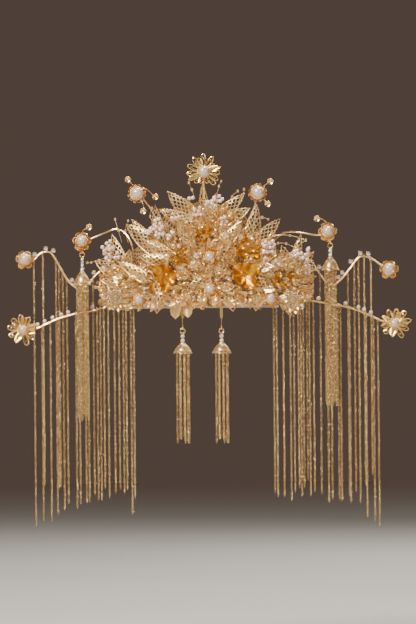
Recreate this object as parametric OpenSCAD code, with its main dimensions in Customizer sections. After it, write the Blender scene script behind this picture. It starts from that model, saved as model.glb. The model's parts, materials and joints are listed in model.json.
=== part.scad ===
// Bridal phoenix crown: a fan of pierced gilt leaves, flowers and pearls on a head band, with
// wire arms at the sides that carry curtains of fine chain, and four hanging tassels.
// X runs across the wearer's face, Z is up and the front faces -Y. The origin is the middle of
// the head band, at the height of its lower edge, where the crown sits on a head.

/* [Head band] */
// Inside radius of the band's front arc
band_r = 73; // [66:0.5:80]
// Height of the band
band_h = 8; // [6:0.5:12]
// Thickness of the wrapped band
band_t = 1.6; // [1.2:0.1:2.4]
// Length of the straight legs behind the arc
band_leg = 25; // [15:1:45]
// Radius of the tie eye at the end of each leg
tie_eye_r = 1.6; // [1:0.1:2]

/* [Fan of leaves] */
// Half the width of the fan of leaves
fan_half_w = 110; // [98:1:116]
// Height of the tallest leaf above the band's lower edge
fan_h = 124; // [112:1:140]
// Radius that the fan is bent to, round an upright axis
fan_bend = 150; // [144:1:200]
// Thickness of the pierced backing
backing_t = 1.2; // [0.9:0.1:1.5]
// Thickness of a leaf
leaf_t = 0.9; // [0.6:0.1:1.2]
// Distance from one layer of leaves to the next
layer_step = 2; // [1.8:0.1:3]
// Radius of the solder disc that joins a spray's leaves
root_disc_r = 9; // [8:0.5:11]
// Radius of the stub between a spray and the backing
pillar_r = 4; // [3.5:0.25:6]

/* [Flowers] */
// Radius of a flower's post
post_r = 1.5; // [1:0.1:2]
// Thickness of petal metal
petal_t = 0.9; // [0.6:0.1:1.2]
// Thickness of a pearl cup
cup_t = 0.8; // [0.6:0.1:1]
// Radius of the peg that holds a pearl
peg_r = 0.6; // [0.4:0.05:0.9]
// Reach of the long loop petals of the top flower
loop_reach = 18; // [16:0.5:21]
// Reach of the loop petals of the lower end flowers
end_loop_reach = 15.5; // [13:0.5:18]
// Thickness of loop petal wire
loop_wire = 0.9; // [0.7:0.1:1.2]
// Reach of the petals of a cup flower
cup_petal_reach = 9; // [8:0.5:11]
// Reach of the petals round the pearls on the fan
fan_petal_reach = 9.5; // [8:0.5:10]
// Reach of the deep gold petal flowers
gold_petal_reach = 17; // [14:0.5:19]
// Reach of the jewelled rosettes
rosette_reach = 12; // [10:0.5:13]

/* [Pearls and stones] */
// Diameter of the top pearl
top_pearl_d = 11; // [9:0.5:13]
// Diameter of the bud pearls
bud_pearl_d = 12; // [10:0.5:13]
// Diameter of the pearls on the middle arms
mid_pearl_d = 10.2; // [9:0.2:12]
// Diameter of the pearls at the ends of the upper arms
upper_pearl_d = 10.7; // [9:0.1:12]
// Diameter of the pearls at the ends of the lower arms
lower_pearl_d = 9; // [8:0.5:11]
// Diameter of the pearls on the fan
fan_pearl_d = 10; // [8:0.5:11]
// Diameter of the gold crest bead
crest_bead_d = 7; // [6:0.5:9]
// Diameter of the small pearls on the lower arms
arm_pearl_d = 4.2; // [3:0.2:5]
// Diameter of the crystals on the upper arms
crystal_d = 4.6; // [4:0.2:5.4]
// Diameter of the stones in the rosettes
stone_d = 3.4; // [2.6:0.2:3.6]

/* [Arms] */
// Distance from the middle of the crown to the flower at the end of an arm
arm_reach = 180; // [165:1:195]
// Height of the upper arms' hump above the band's lower edge
upper_arm_h = 58; // [52:1:64]
// Height of the middle arms' hump above the band's lower edge
mid_arm_h = 80; // [74:1:86]
// Drop of the lower arms' ends below the band's lower edge
lower_arm_drop = 20; // [14:1:26]
// Radius of arm wire
arm_r = 0.8; // [0.6:0.1:1]
// Distance of the upper arms in front of the band's middle
upper_plane = 28; // [26:0.5:30]
// Distance of the lower arms in front of the band's middle
lower_plane = 36; // [34.5:0.5:37.5]
// Distance of the middle arms in front of the band's middle
mid_plane = 48; // [46:0.5:52]
// Distance of the bud flowers and the top flower in front of the band's middle
stem_plane = 78; // [76:0.5:82]

/* [Curtains and tassels] */
// Depth of the longest chain below the band's lower edge
curtain_depth = 226; // [180:1:260]
// Width of a chain
chain_d = 1.9; // [1.4:0.1:2]
// Length of a tassel chain bundle below the side caps
side_bundle_l = 142; // [110:1:160]
// Length of a tassel chain bundle below the front caps
front_bundle_l = 91; // [70:1:110]
// Radius of the rim of a side tassel's cap
side_cap_r = 7.4; // [6.8:0.2:8]
// Height of a side tassel's cap
side_cap_h = 10; // [8:0.5:13]
// Radius of the rim of a front tassel's cap
front_cap_r = 8; // [7:0.2:9]
// Height of a front tassel's cap
front_cap_h = 7.5; // [6:0.5:10]
// Length of a front hook below the band's lower edge
hook_drop = 20; // [16:0.5:26]
// Width of a front hook's flat tab
tab_w = 2.8; // [2:0.1:4]
// Diameter of the pearls over the front tassels
drop_pearl_d = 4.3; // [3:0.1:5]
// Diameter of the beads over the side tassels
drop_bead_d = 3.6; // [3:0.1:4.2]
// Radius of a jump ring
ring_r = 2.4; // [2.2:0.1:3]
// Radius of ring and pin wire
ring_wire_r = 0.45; // [0.35:0.05:0.5]

/* [Fits] */
// Clearance between neighbouring pieces
gap = 0.3; // [0.2:0.05:0.4]
// Clearance round a pearl in its cup and a pin in its bore
seat_gap = 0.2; // [0.15:0.05:0.3]

/* [Hidden] */

left = -1;
right = 1;
fine = 48;
bend_fine = 180;

// Radius of the wire of the rings that the chains hang from
hang_ring_wire = 0.35;

// The upright axis that the fan is bent round, behind the wearer's face
fan_axis_y = fan_bend - band_r - band_t - gap;
// Radius of the back of each layer: the backing is layer 0
function layer_r(k) = fan_bend + k * layer_step;
leaf_layers = 3;
front_r = layer_r(leaf_layers) + leaf_t + gap;

// How far forward a bent wall of radius r lies at the distance x from the middle
function wall_y(r, x) = fan_axis_y - sqrt(r * r - x * x);
// The back plane of a flower of this reach that stands clear of all leaves at x
function flower_y(x, reach) = wall_y(front_r, max(abs(x) - reach, 0));
// The plane just in front of the backing for something half_w wide at x
function backing_front_y(x, half_w) = wall_y(fan_bend + backing_t + gap, max(abs(x) - half_w, 0));

// Places on the fan are shares of its half width and its height
function on_fan(p) = [p[0] * fan_half_w, p[1] * fan_h];

// Columns of a leaf row: its tip as a place on the fan, its breadth as a share of its length,
// how many pairs of gaps are pierced beside its rib, and for a hem leaf its foot on the strip
TIP = 0;
BREADTH = 1;
PAIRS = 2;
FOOT = 3;

crest_leaves = [
    [[-0.33, 0.94], 0.40, 4],
    [[-0.01, 1.00], 0.24, 3],
    [[0.12, 0.93], 0.24, 2],
    [[0.37, 0.92], 0.32, 4],
    [[-0.17, 0.88], 0.26, 2],
    [[0.23, 0.86], 0.28, 2]
];
left_leaves = [
    [[-0.445, 0.83], 0.30, 3],
    [[-0.71, 0.68], 0.50, 4],
    [[-0.66, 0.72], 0.30, 0],
    [[-0.34, 0.70], 0.36, 0]
];
right_leaves = [
    [[0.48, 0.83], 0.36, 3],
    [[0.69, 0.715], 0.36, 3],
    [[0.64, 0.55], 0.44, 2],
    [[0.30, 0.68], 0.36, 0]
];
left_wing_leaves = [
    [[-1.00, 0.395], 0.48, 3],
    [[-0.84, 0.60], 0.36, 3],
    [[-0.68, 0.48], 0.40, 1]
];
right_wing_leaves = [
    [[0.88, 0.59], 0.26, 2],
    [[1.00, 0.45], 0.40, 2],
    [[1.02, 0.31], 0.28, 1],
    [[0.70, 0.50], 0.40, 1]
];
hem_leaves = [
    [[-0.44, -0.04], 0.50, 2, -0.43],
    [[-0.27, -0.085], 0.42, 0, -0.26],
    [[-0.155, -0.077], 0.40, 0, -0.165],
    [[-0.03, -0.01], 0.50, 0, -0.03],
    [[0.10, 0.00], 0.60, 0, 0.11],
    [[0.255, -0.03], 0.72, 1, 0.235],
    [[0.41, -0.01], 0.55, 1, 0.395],
    [[0.50, -0.02], 0.50, 0, 0.48],
    [[0.62, 0.20], 0.80, 1, 0.47]
];
heart_leaves = [
    [[0.33, 0.53], 0.46, 2],
    [[0.20, 0.61], 0.46, 1],
    [[-0.03, 0.66], 0.44, 1],
    [[-0.22, 0.60], 0.44, 1],
    [[-0.31, 0.44], 0.42, 2],
    [[-0.17, 0.27], 0.48, 1],
    [[0.24, 0.27], 0.48, 1]
];

// Middles of the solder discs
crest_root = [0.01, 0.62];
left_root = [-0.39, 0.44];
right_root = [0.41, 0.45];
left_wing_root = [-0.73, 0.24];
right_wing_root = [0.80, 0.27];
heart_root = [0.04, 0.41];
// Ends and height of the strip that the hem leaves hang from
hem_strip = [-0.49, 0.54];
hem_strip_up = 0.13;
hem_strip_w = 6;
hem_pillars = [-0.43, 0.235];

// Seats of the flowers on the fan
crest_seat = [-0.01, 0.64];
centre_seat = [0.045, 0.41];
low_seat_centre = [0.045, 0.155];
low_seat_left = [-0.60, 0.074];
low_seat_right = [0.595, 0.073];
gold_seat_left = [-0.335, 0.26];
gold_seat_right = [0.345, 0.27];
rosette_seat_left = [-0.81, 0.09];
rosette_seat_right = [0.80, 0.055];
SEATS = [crest_seat, centre_seat, low_seat_centre, low_seat_left, low_seat_right,
    gold_seat_left, gold_seat_right, rosette_seat_left, rosette_seat_right];

// Upper edge of the backing: across and up, as shares of the fan's half width and height
BACKING_TOP = [[0, 0.86], [0.2, 0.81], [0.38, 0.73], [0.48, 0.60], [0.62, 0.48], [0.76, 0.43],
    [0.85, 0.34], [0.87, 0.18], [0.86, 0.02]];
backing_foot_up = 0.02;
// Pitch and size of the gaps in the backing, as shares of its half width and height
lattice_pitch = [0.17, 0.155];
lattice_gap = [0.068, 0.062];
lattice_rows = 5;
lattice_side = 5;
backing_rim = 0.045;
seat_disc_r = 3.4;

// Columns of an arm's route: across as a share of arm_reach, up as a share of the arm's height,
// and how far it has left the back of the fan (0) for its own plane (1) or for its seat (-1)
ACROSS = 0;
UP = 1;
OUT = 2;
upper_route_left = [[1.003, 0.88, 1], [0.955, 0.865, 1], [0.92, 0.97, 1], [0.87, 1.0, 1],
    [0.84, 0.90, 1], [0.77, 0.52, 1], [0.715, 0.37, 1], [0.665, 0.39, 1], [0.605, 0.60, 1],
    [0.53, 0.80, 0.5], [0.46, 0.88, -0.5], [0.42, 0.84, -1]];
upper_route_right = [[1.03, 0.65, 1], [0.985, 0.72, 1], [0.95, 0.80, 1], [0.90, 0.87, 1],
    [0.857, 0.84, 1], [0.807, 0.64, 1], [0.746, 0.43, 1], [0.694, 0.39, 1], [0.63, 0.64, 1],
    [0.60, 0.78, 1], [0.54, 0.86, 0.5], [0.47, 0.86, -0.5], [0.43, 0.82, -1]];
lower_route_left = [[1.017, -1.0, 1], [0.945, -0.95, 1], [0.89, -0.74, 1], [0.82, -0.47, 1],
    [0.715, -0.20, 1], [0.64, -0.09, 1], [0.59, 0.02, 0.9], [0.54, 0.12, 0], [0.46, 0.13, 0],
    [0.39, 0.13, 0], [0.355, 0.25, -0.6], [0.33, 0.40, -1]];
lower_route_right = [[1.055, -0.85, 1], [0.99, -0.75, 1], [0.91, -0.41, 1], [0.833, -0.125, 1],
    [0.748, 0.08, 1], [0.653, 0.23, 1], [0.60, 0.32, 0.9], [0.55, 0.33, 0], [0.46, 0.33, 0],
    [0.37, 0.33, 0], [0.34, 0.36, -0.6], [0.31, 0.40, -1]];
mid_route_left = [[0.682, 0.86, 1], [0.64, 0.875, 1], [0.567, 0.945, 0.9], [0.508, 0.995, 0.45],
    [0.478, 0.995, 0.2], [0.448, 0.96, 0], [0.419, 0.88, 0], [0.401, 0.78, 0], [0.398, 0.70, 0],
    [0.389, 0.55, -1], [0.378, 0.44, -1]];
mid_route_right = [[0.686, 0.95, 1], [0.636, 0.90, 1], [0.554, 0.93, 0.9], [0.493, 0.945, 0.4],
    [0.458, 0.94, 0.1], [0.433, 0.92, 0], [0.40, 0.863, 0], [0.383, 0.796, 0], [0.368, 0.60, -1],
    [0.371, 0.44, -1]];
// Stems behind the fan, as shares of its half width and height
bud_route_left = [[-0.606, 0.926, 1], [-0.53, 0.86, 0.6], [-0.48, 0.80, 0.2], [-0.43, 0.70, 0],
    [-0.38, 0.60, -1], [-0.35, 0.52, -1]];
bud_route_right = [[0.487, 0.924, 1], [0.475, 0.87, 0.4], [0.45, 0.80, 0.1], [0.41, 0.70, 0],
    [0.36, 0.60, -1], [0.34, 0.52, -1]];
top_route = [[0, 1.097, 1], [0, 1.03, 0.2], [0, 0.98, 0], [0, 0.84, -1], [0, 0.70, -1]];

// Chains: across as a share of arm_reach, lower end as a share of curtain_depth
upper_chains_left = [[0.955, 0.967], [0.905, 0.79], [0.832, 0.923], [0.814, 0.80], [0.794, 0.913],
    [0.772, 0.876], [0.625, 0.83], [0.586, 0.869], [0.567, 0.815]];
upper_chains_right = [[0.929, 0.757], [0.891, 0.804], [0.86, 0.889], [0.836, 0.835], [0.80, 0.85],
    [0.644, 0.848], [0.605, 0.825]];
lower_chains_left = [[0.911, 0.95], [0.865, 0.95], [0.822, 0.804], [0.722, 0.889], [0.703, 0.879],
    [0.669, 0.872], [0.653, 0.867], [0.603, 0.862], [0.542, 0.842], [0.507, 0.838],
    [0.481, 0.811], [0.457, 0.838], [0.441, 0.811], [0.414, 0.927], [0.398, 0.858]];
lower_chains_right = [[0.964, 0.997], [0.939, 0.957], [0.897, 0.954], [0.806, 0.886],
    [0.756, 0.869], [0.742, 0.876], [0.703, 0.872], [0.683, 0.889], [0.582, 0.842],
    [0.568, 0.779], [0.547, 0.805], [0.533, 0.855], [0.519, 0.821], [0.494, 0.838],
    [0.474, 0.865], [0.434, 0.848], [0.397, 0.845], [0.381, 0.836]];

// Stones and pearls on the arms, across as shares of arm_reach
crystals_left = [0.935, 0.885, 0.858, 0.757, 0.73, 0.606];
crystals_right = [0.91, 0.876, 0.833, 0.785, 0.762, 0.624];
pearls_left = [0.93, 0.888, 0.845, 0.80, 0.76, 0.625];
pearls_right = [0.918, 0.88, 0.85, 0.78, 0.7225, 0.63];

// Middles of the front tassels, across as shares of the fan's half width
front_drop_left = -0.205;
front_drop_right = 0.148;

// Half breadth of a leaf at the share t of its length from foot to tip, broadest near its middle
function leaf_swell(t) = pow(1 - t, 0.8) * (0.5 + 2.4 * t);
function petal_swell(t) = 0.15 + 0.85 * sin(180 * pow(t, 1.5)) - 0.15 * t;
leaf_steps = 7;

function outline(tip, foot, breadth, kind) =
    let (along = tip - foot, side = [-along[1], along[0]] * breadth / 2, n = leaf_steps,
        half = [for (i = [0:n]) side * (kind == "leaf" ? leaf_swell(i / n) : petal_swell(i / n))])
    concat([for (i = [0:n]) foot + along * i / n + half[i]],
        [for (i = [n - 1:-1:0]) foot + along * i / n - half[i]]);

// Flat shapes drawn in the X-Z plane are cut right through the fan, from its axis forwards
module cut_through() linear_extrude(front_r + 10) children();

module leaf(tip, foot, row) {
    along = tip - foot;
    side = [-along[1], along[0]] * row[BREADTH];
    pairs = row[PAIRS];
    cut_through() difference() {
        polygon(outline(tip, foot, row[BREADTH], "leaf"));
        for (i = [1:1:pairs]) for (hand = [left, right]) {
            t = i / (pairs + 1);
            middle = foot + along * t + side * hand * 0.24 * leaf_swell(t);
            length = along * 0.34 / (pairs + 1);
            width = side * 0.13 * leaf_swell(t);
            polygon([middle - length, middle - width, middle + length, middle + width]);
        }
    }
}

// Holes that let the flowers' posts through a layer of leaves
module post_holes() {
    for (seat = SEATS) translate(on_fan(seat)) cylinder(h = front_r + 11, r = post_r + gap, $fn = fine);
}

// What is cut through the fan is kept only in a wall bent round the fan's axis
module bent(r_back, t) {
    low = -0.3 * fan_h;
    tall = 1.6 * fan_h;
    intersection() {
        translate([0, fan_axis_y, 0]) rotate([90, 0, 0]) children();
        translate([0, fan_axis_y, low]) difference() {
            cylinder(h = tall, r = r_back + t, $fn = bend_fine);
            translate([0, 0, -1]) cylinder(h = tall + 2, r = r_back, $fn = bend_fine);
        }
    }
}

// A stub behind a layer of leaves, soldered to it, that reaches back to the backing
module pillar(p, layer) {
    back = fan_bend + backing_t + gap;
    bent(back, layer_r(layer) + leaf_t / 2 - back) difference() {
        translate(p) cylinder(h = front_r + 10, r = pillar_r, $fn = fine);
        post_holes();
    }
}

module spray(layer, leaves, root) {
    middle = on_fan(root);
    color("#E8C98A") {
        bent(layer_r(layer), leaf_t) difference() {
            union() {
                for (row = leaves) {
                    tip = on_fan(row[TIP]);
                    leaf(tip, middle + unit(tip - middle) * root_disc_r / 3, row);
                }
                translate(middle) cylinder(h = front_r + 10, r = root_disc_r, $fn = fine);
            }
            post_holes();
        }
        pillar(middle, layer);
    }
}

module crest_spray() spray(1, crest_leaves, crest_root);
module left_spray() spray(2, left_leaves, left_root);
module right_spray() spray(2, right_leaves, right_root);
module left_wing() spray(3, left_wing_leaves, left_wing_root);
module right_wing() spray(3, right_wing_leaves, right_wing_root);
module heart_spray() spray(3, heart_leaves, heart_root);

module hem_spray() {
    ends = [for (x = hem_strip) x * fan_half_w];
    color("#E8C98A") {
        bent(layer_r(leaf_layers), leaf_t) difference() {
            union() {
                for (row = hem_leaves) leaf(on_fan(row[TIP]), on_fan([row[FOOT], hem_strip_up]), row);
                cut_through() translate([ends[0], hem_strip_up * fan_h - hem_strip_w / 2])
                    square([ends[1] - ends[0], hem_strip_w]);
            }
            post_holes();
        }
        for (x = hem_pillars) pillar(on_fan([x, hem_strip_up]), leaf_layers);
    }
}

module head_band() {
    outer = band_r + band_t;
    color("#CDB9A8") difference() {
        union() {
            intersection() {
                difference() {
                    cylinder(h = band_h, r = outer, $fn = bend_fine);
                    translate([0, 0, -1]) cylinder(h = band_h + 2, r = band_r, $fn = bend_fine);
                }
                translate([-outer - 1, -outer - 1, -1]) cube([2 * outer + 2, outer + 1, band_h + 2]);
            }
            for (side = [left, right]) translate([side > 0 ? band_r : -outer, 0, 0])
                cube([band_t, band_leg, band_h]);
        }
        translate([-outer - 1, band_leg - band_h / 2, band_h / 2]) rotate([0, 90, 0])
            cylinder(h = 2 * outer + 2, r = tie_eye_r, $fn = fine);
    }
}

// Middles of the gaps pierced in the backing, kept a rim's width inside its edge
function backing_top(x) = lookup(abs(x), BACKING_TOP);
lattice = [for (row = [0:lattice_rows - 1]) for (i = [-lattice_side:lattice_side])
    let (x = (i + (row % 2) / 2) * lattice_pitch[0], z = 0.115 + row * lattice_pitch[1])
    if (z + lattice_gap[1] + backing_rim < backing_top(abs(x) + lattice_gap[0] + 0.01)) [x, z]];

module backing() {
    half = BACKING_TOP;
    n = len(half);
    edge = concat(half, [[half[n - 1][0], backing_foot_up], [0, backing_foot_up]]);
    color("#D9B06A") bent(fan_bend, backing_t) cut_through() difference() {
        polygon(concat([for (p = edge) on_fan(p)],
            [for (i = [len(edge) - 2:-1:1]) on_fan([-edge[i][0], edge[i][1]])]));
        difference() {
            for (p = lattice) {
                a = on_fan(p);
                g = on_fan(lattice_gap);
                polygon([a - [g[0], 0], a - [0, g[1]], a + [g[0], 0], a + [0, g[1]]]);
            }
            for (seat = SEATS) translate(on_fan(seat)) circle(seat_disc_r, $fn = fine);
        }
    }
}

// A smooth curve through the points of a route
function between(a, b, c, d, t) =
    (2 * b + (c - a) * t + (2 * a - 5 * b + 4 * c - d) * t * t + (3 * b - a - 3 * c + d) * t * t * t) / 2;
function smooth(p, cuts = 2) = [
    for (i = [0:len(p) - 2]) for (j = [0:cuts - 1])
        between(p[max(i - 1, 0)], p[i], p[i + 1], p[min(i + 2, len(p) - 1)], j / cuts),
    p[len(p) - 1]];

// The depth of a wire behind the fan, far enough for chain rings (0) or touching it (-1), or
// further out on its own plane (1)
ring_room = 2 * arm_r + 2 * gap + 2 * hang_ring_wire;
function wire_y(x, out, plane) =
    let (share = abs(out), rail = wall_y(fan_bend - ring_room, x), seat = wall_y(fan_bend - gap - arm_r, x))
    (1 - share) * rail + share * (out < 0 ? seat : -plane);
function arm_route(route, side, height, plane) = [
    for (p = smooth(route)) let (x = side * p[ACROSS] * arm_reach)
        [x, wire_y(min(abs(x), fan_half_w), p[OUT], plane), p[UP] * height]];
function stem_route(route) = [
    for (p = smooth(route)) let (q = on_fan(p)) [q[0], wire_y(q[0], p[OUT], stem_plane), q[1]]];

upper_left = arm_route(upper_route_left, left, upper_arm_h, upper_plane);
upper_right = arm_route(upper_route_right, right, upper_arm_h, upper_plane);
lower_left = arm_route(lower_route_left, left, lower_arm_drop, lower_plane);
lower_right = arm_route(lower_route_right, right, lower_arm_drop, lower_plane);
mid_left = arm_route(mid_route_left, left, mid_arm_h, mid_plane);
mid_right = arm_route(mid_route_right, right, mid_arm_h, mid_plane);
bud_left = stem_route(bud_route_left);
bud_right = stem_route(bud_route_right);
top_stem = stem_route(top_route);

function backwards(rows) = [for (i = [len(rows) - 1:-1:0]) rows[i]];

// The point of an arm at the distance x from the middle
function arm_at(route, x) = let (
    ys = [for (p = route) [abs(p[0]), p[1]]],
    zs = [for (p = route) [abs(p[0]), p[2]]])
    [x, lookup(abs(x), backwards(ys)), lookup(abs(x), backwards(zs))];

function unit(v) = v / norm(v);
function heading(route, i) = unit(route[min(i + 1, len(route) - 1)] - route[max(i - 1, 0)]);

wire_sides = 8;
module wire(route, r) {
    n = wire_sides;
    points = [for (i = [0:len(route) - 1])
        let (t = heading(route, i), a = unit(cross(t, [0, 1, 0])), b = cross(a, t))
        for (j = [0:n - 1]) route[i] + r * (cos(360 * j / n) * a + sin(360 * j / n) * b)];
    sides = [for (i = [0:len(route) - 2]) for (j = [0:n - 1])
        [i * n + j, i * n + (j + 1) % n, (i + 1) * n + (j + 1) % n, (i + 1) * n + j]];
    ends = [[for (j = [n - 1:-1:0]) j], [for (j = [0:n - 1]) (len(route) - 1) * n + j]];
    polyhedron(points, concat(sides, ends));
}

// Flowers are drawn round +Z and then turned to face the front
module facing_front(p) translate(p) rotate([90, 0, 0]) children();

// A dish of petals pressed from one sheet, shallow when dish_r is large
module petals(angles, reach, breadth, dish_r) {
    hub = 0.2 * reach;
    intersection() {
        linear_extrude(reach) union() {
            circle(hub * 1.6, $fn = fine);
            for (a = angles) rotate(a) polygon(outline([reach, 0], [hub, 0], breadth, "petal"));
        }
        translate([0, 0, dish_r]) difference() {
            sphere(dish_r, $fn = bend_fine);
            sphere(dish_r - petal_t, $fn = bend_fine);
        }
    }
}

// Flat petals bent from wire, each an open loop
module loops(angles, reach, inner, breadth) {
    linear_extrude(loop_wire) for (a = angles) rotate(a) difference() {
        polygon(outline([reach, 0], [inner, 0], breadth, "petal"));
        polygon(outline([reach - 1.6 * loop_wire, 0], [inner + 1.2 * loop_wire, 0], breadth * 0.62, "petal"));
    }
}

function pearl_z(d) = cup_t + seat_gap + d / 2;
module pearl_cup(d, depth = 0.42) {
    difference() {
        translate([0, 0, pearl_z(d)]) sphere(d / 2 + seat_gap + cup_t, $fn = fine);
        translate([0, 0, pearl_z(d)]) sphere(d / 2 + seat_gap, $fn = fine);
        translate([-d, -d, pearl_z(d) - (0.5 - depth) * d]) cube([2 * d, 2 * d, 2 * d]);
    }
    cylinder(h = pearl_z(d), r = peg_r, $fn = fine);
}

module pearl(d) {
    color("#F2E9E4") difference() {
        translate([0, 0, pearl_z(d)]) sphere(d / 2, $fn = fine);
        cylinder(h = pearl_z(d) + 0.1 * d, r = peg_r + seat_gap, $fn = fine);
    }
}

// A flower stands on a post that ends just in front of the backing
module flower_post(x, base_y) {
    translate([0, 0, -(backing_front_y(x, post_r) - base_y)])
        cylinder(h = backing_front_y(x, post_r) - base_y + petal_t / 2, r = post_r, $fn = fine);
}

function ring_of(n, start = 0) = [for (i = [0:n - 1]) start + i * 360 / n];
function fan_place(seat, reach) = let (p = on_fan(seat)) [p[0], flower_y(p[0], reach), p[1]];

module pearl_flower(seat, d, n, reach) {
    p = fan_place(seat, reach);
    color("#DFAE52") facing_front(p) {
        petals(ring_of(n, 90), reach, 0.62, 1.7 * reach);
        pearl_cup(d);
        flower_post(p[0], p[1]);
    }
}

module crest_flower() pearl_flower(crest_seat, crest_bead_d, 6, 0.75 * fan_petal_reach);
module centre_flower() pearl_flower(centre_seat, fan_pearl_d, 8, fan_petal_reach);
module low_flower_centre() pearl_flower(low_seat_centre, fan_pearl_d, 8, fan_petal_reach);
module low_flower_left() pearl_flower(low_seat_left, 0.9 * fan_pearl_d, 6, 0.85 * fan_petal_reach);
module low_flower_right() pearl_flower(low_seat_right, 0.95 * fan_pearl_d, 6, 0.85 * fan_petal_reach);

module fan_pearl(seat, d, reach) facing_front(fan_place(seat, reach)) pearl(d);
module crest_bead() color("#E3B23C") fan_pearl(crest_seat, crest_bead_d, 0.75 * fan_petal_reach);
module centre_pearl() fan_pearl(centre_seat, fan_pearl_d, fan_petal_reach);
module low_pearl_centre() fan_pearl(low_seat_centre, fan_pearl_d, fan_petal_reach);
module low_pearl_left() fan_pearl(low_seat_left, 0.9 * fan_pearl_d, 0.85 * fan_petal_reach);
module low_pearl_right() fan_pearl(low_seat_right, 0.95 * fan_pearl_d, 0.85 * fan_petal_reach);

// Deep gold flowers of four broad cupped petals round a boss
module gold_flower(seat, angles) {
    p = fan_place(seat, gold_petal_reach);
    boss_r = 0.22 * gold_petal_reach;
    color("#DB8A12") facing_front(p) {
        petals(angles, gold_petal_reach, 0.72, 1.25 * gold_petal_reach);
        intersection() {
            sphere(boss_r, $fn = fine);
            translate([-boss_r, -boss_r, 0]) cube(2 * boss_r);
        }
        flower_post(p[0], p[1]);
    }
}
module gold_flower_left() gold_flower(gold_seat_left, [145, 215, 262, 5]);
module gold_flower_right() gold_flower(gold_seat_right, [135, 25, 310, 195]);

// Rosettes: a dish of petals under a plate that the stones sit on
plate_up = 3;
plate_t = 1;
plate_share = 0.62;
module rosette(seat) {
    p = fan_place(seat, rosette_reach);
    color("#E6C06C") facing_front(p) {
        petals(ring_of(9), rosette_reach, 0.5, 1.8 * rosette_reach);
        translate([0, 0, plate_up]) cylinder(h = plate_t, r = plate_share * rosette_reach, $fn = fine);
        cylinder(h = plate_up + plate_t / 2, r = 2 * post_r, $fn = fine);
        flower_post(p[0], p[1]);
    }
}
module rosette_left() rosette(rosette_seat_left);
module rosette_right() rosette(rosette_seat_right);

// A cut stone with a flat table, eight crown facets and a flat foiled back
module cut_stone(d) {
    cylinder(h = 0.15 * d, r = d / 2, $fn = 8);
    translate([0, 0, 0.15 * d]) cylinder(h = 0.3 * d, r1 = d / 2, r2 = 0.3 * d, $fn = 8);
}
module rosette_stones() {
    circle_r = plate_share * rosette_reach - stone_d / 2;
    color("#F4F4F2") for (seat = [rosette_seat_left, rosette_seat_right])
        facing_front(fan_place(seat, rosette_reach)) translate([0, 0, plate_up + plate_t + gap / 2]) {
            cut_stone(1.2 * stone_d);
            for (a = ring_of(8)) rotate(a) translate([circle_r, 0, 0]) cut_stone(stone_d);
        }
}

// Flowers at the ends of the arms: the arm's wire is soldered into a short post behind them
end_post_r = 2 * arm_r;
module end_flower(route) {
    facing_front(route[0]) {
        translate([0, 0, -end_post_r]) cylinder(h = 2 * end_post_r + petal_t / 2, r = end_post_r, $fn = fine);
        translate([0, 0, end_post_r]) children();
    }
}
module cup_petals(d) {
    petals(ring_of(6, 30), cup_petal_reach, 0.72, 0.95 * cup_petal_reach);
    pearl_cup(d);
}
module pearl_at(route, d) facing_front(route[0]) translate([0, 0, end_post_r]) pearl(d);

module upper_arm(route) color("#D8AF68") {
    wire(route, arm_r);
    end_flower(route) cup_petals(upper_pearl_d);
}
module upper_arm_left() upper_arm(upper_left);
module upper_arm_right() upper_arm(upper_right);
module upper_pearl_left() pearl_at(upper_left, upper_pearl_d);
module upper_pearl_right() pearl_at(upper_right, upper_pearl_d);

module lower_arm(route, open_angles, full_angles) color("#D8AF68") {
    wire(route, arm_r);
    end_flower(route) {
        loops(open_angles, end_loop_reach, 0.3 * lower_pearl_d, 0.36);
        petals(full_angles, 0.8 * end_loop_reach, 0.42, 2 * end_loop_reach);
        cylinder(h = loop_wire, r = 0.42 * lower_pearl_d, $fn = fine);
        pearl_cup(lower_pearl_d);
    }
}
module lower_arm_left() lower_arm(lower_left, [100, 65, 135, 170, 205, 320, 285], [20, 240, 345]);
module lower_arm_right() lower_arm(lower_right, [80, 45, 115, 10, 335, 300, 225], [150, 190, 262]);
module lower_pearl_left() pearl_at(lower_left, lower_pearl_d);
module lower_pearl_right() pearl_at(lower_right, lower_pearl_d);

// The middle arms' flowers carry the side tassels on an eye below them
eye_r = 1.4;
eye_drop = cup_petal_reach + 2.5;
hanger_w = 1.4;
tassel_shift_right = 2.6;
function eye_at(route, shift) = route[0] + [shift, 0, -eye_drop];
module eye(p) translate(p) rotate([0, 90, 0]) rotate_extrude($fn = fine) translate([eye_r, 0])
    circle(ring_wire_r, $fn = 24);
module mid_arm(route, shift) color("#D8AF68") {
    top = eye_at(route, shift) + [0, 0, eye_r];
    wire(route, arm_r);
    end_flower(route) cup_petals(mid_pearl_d);
    eye(eye_at(route, shift));
    translate([min(top[0], route[0][0]) - hanger_w / 2, route[0][1] - hanger_w / 2, top[2] - ring_wire_r / 2])
        cube([abs(shift) + hanger_w, hanger_w, eye_drop - eye_r + ring_wire_r / 2]);
}
module mid_arm_left() mid_arm(mid_left, 0);
module mid_arm_right() mid_arm(mid_right, tassel_shift_right);
module mid_pearl_left() pearl_at(mid_left, mid_pearl_d);
module mid_pearl_right() pearl_at(mid_right, mid_pearl_d);

module bud_stem(route) color("#D8AF68") {
    wire(route, arm_r);
    end_flower(route) cup_petals(bud_pearl_d);
}
module bud_stem_left() bud_stem(bud_left);
module bud_stem_right() bud_stem(bud_right);
module bud_pearl_left() pearl_at(bud_left, bud_pearl_d);
module bud_pearl_right() pearl_at(bud_right, bud_pearl_d);

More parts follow.
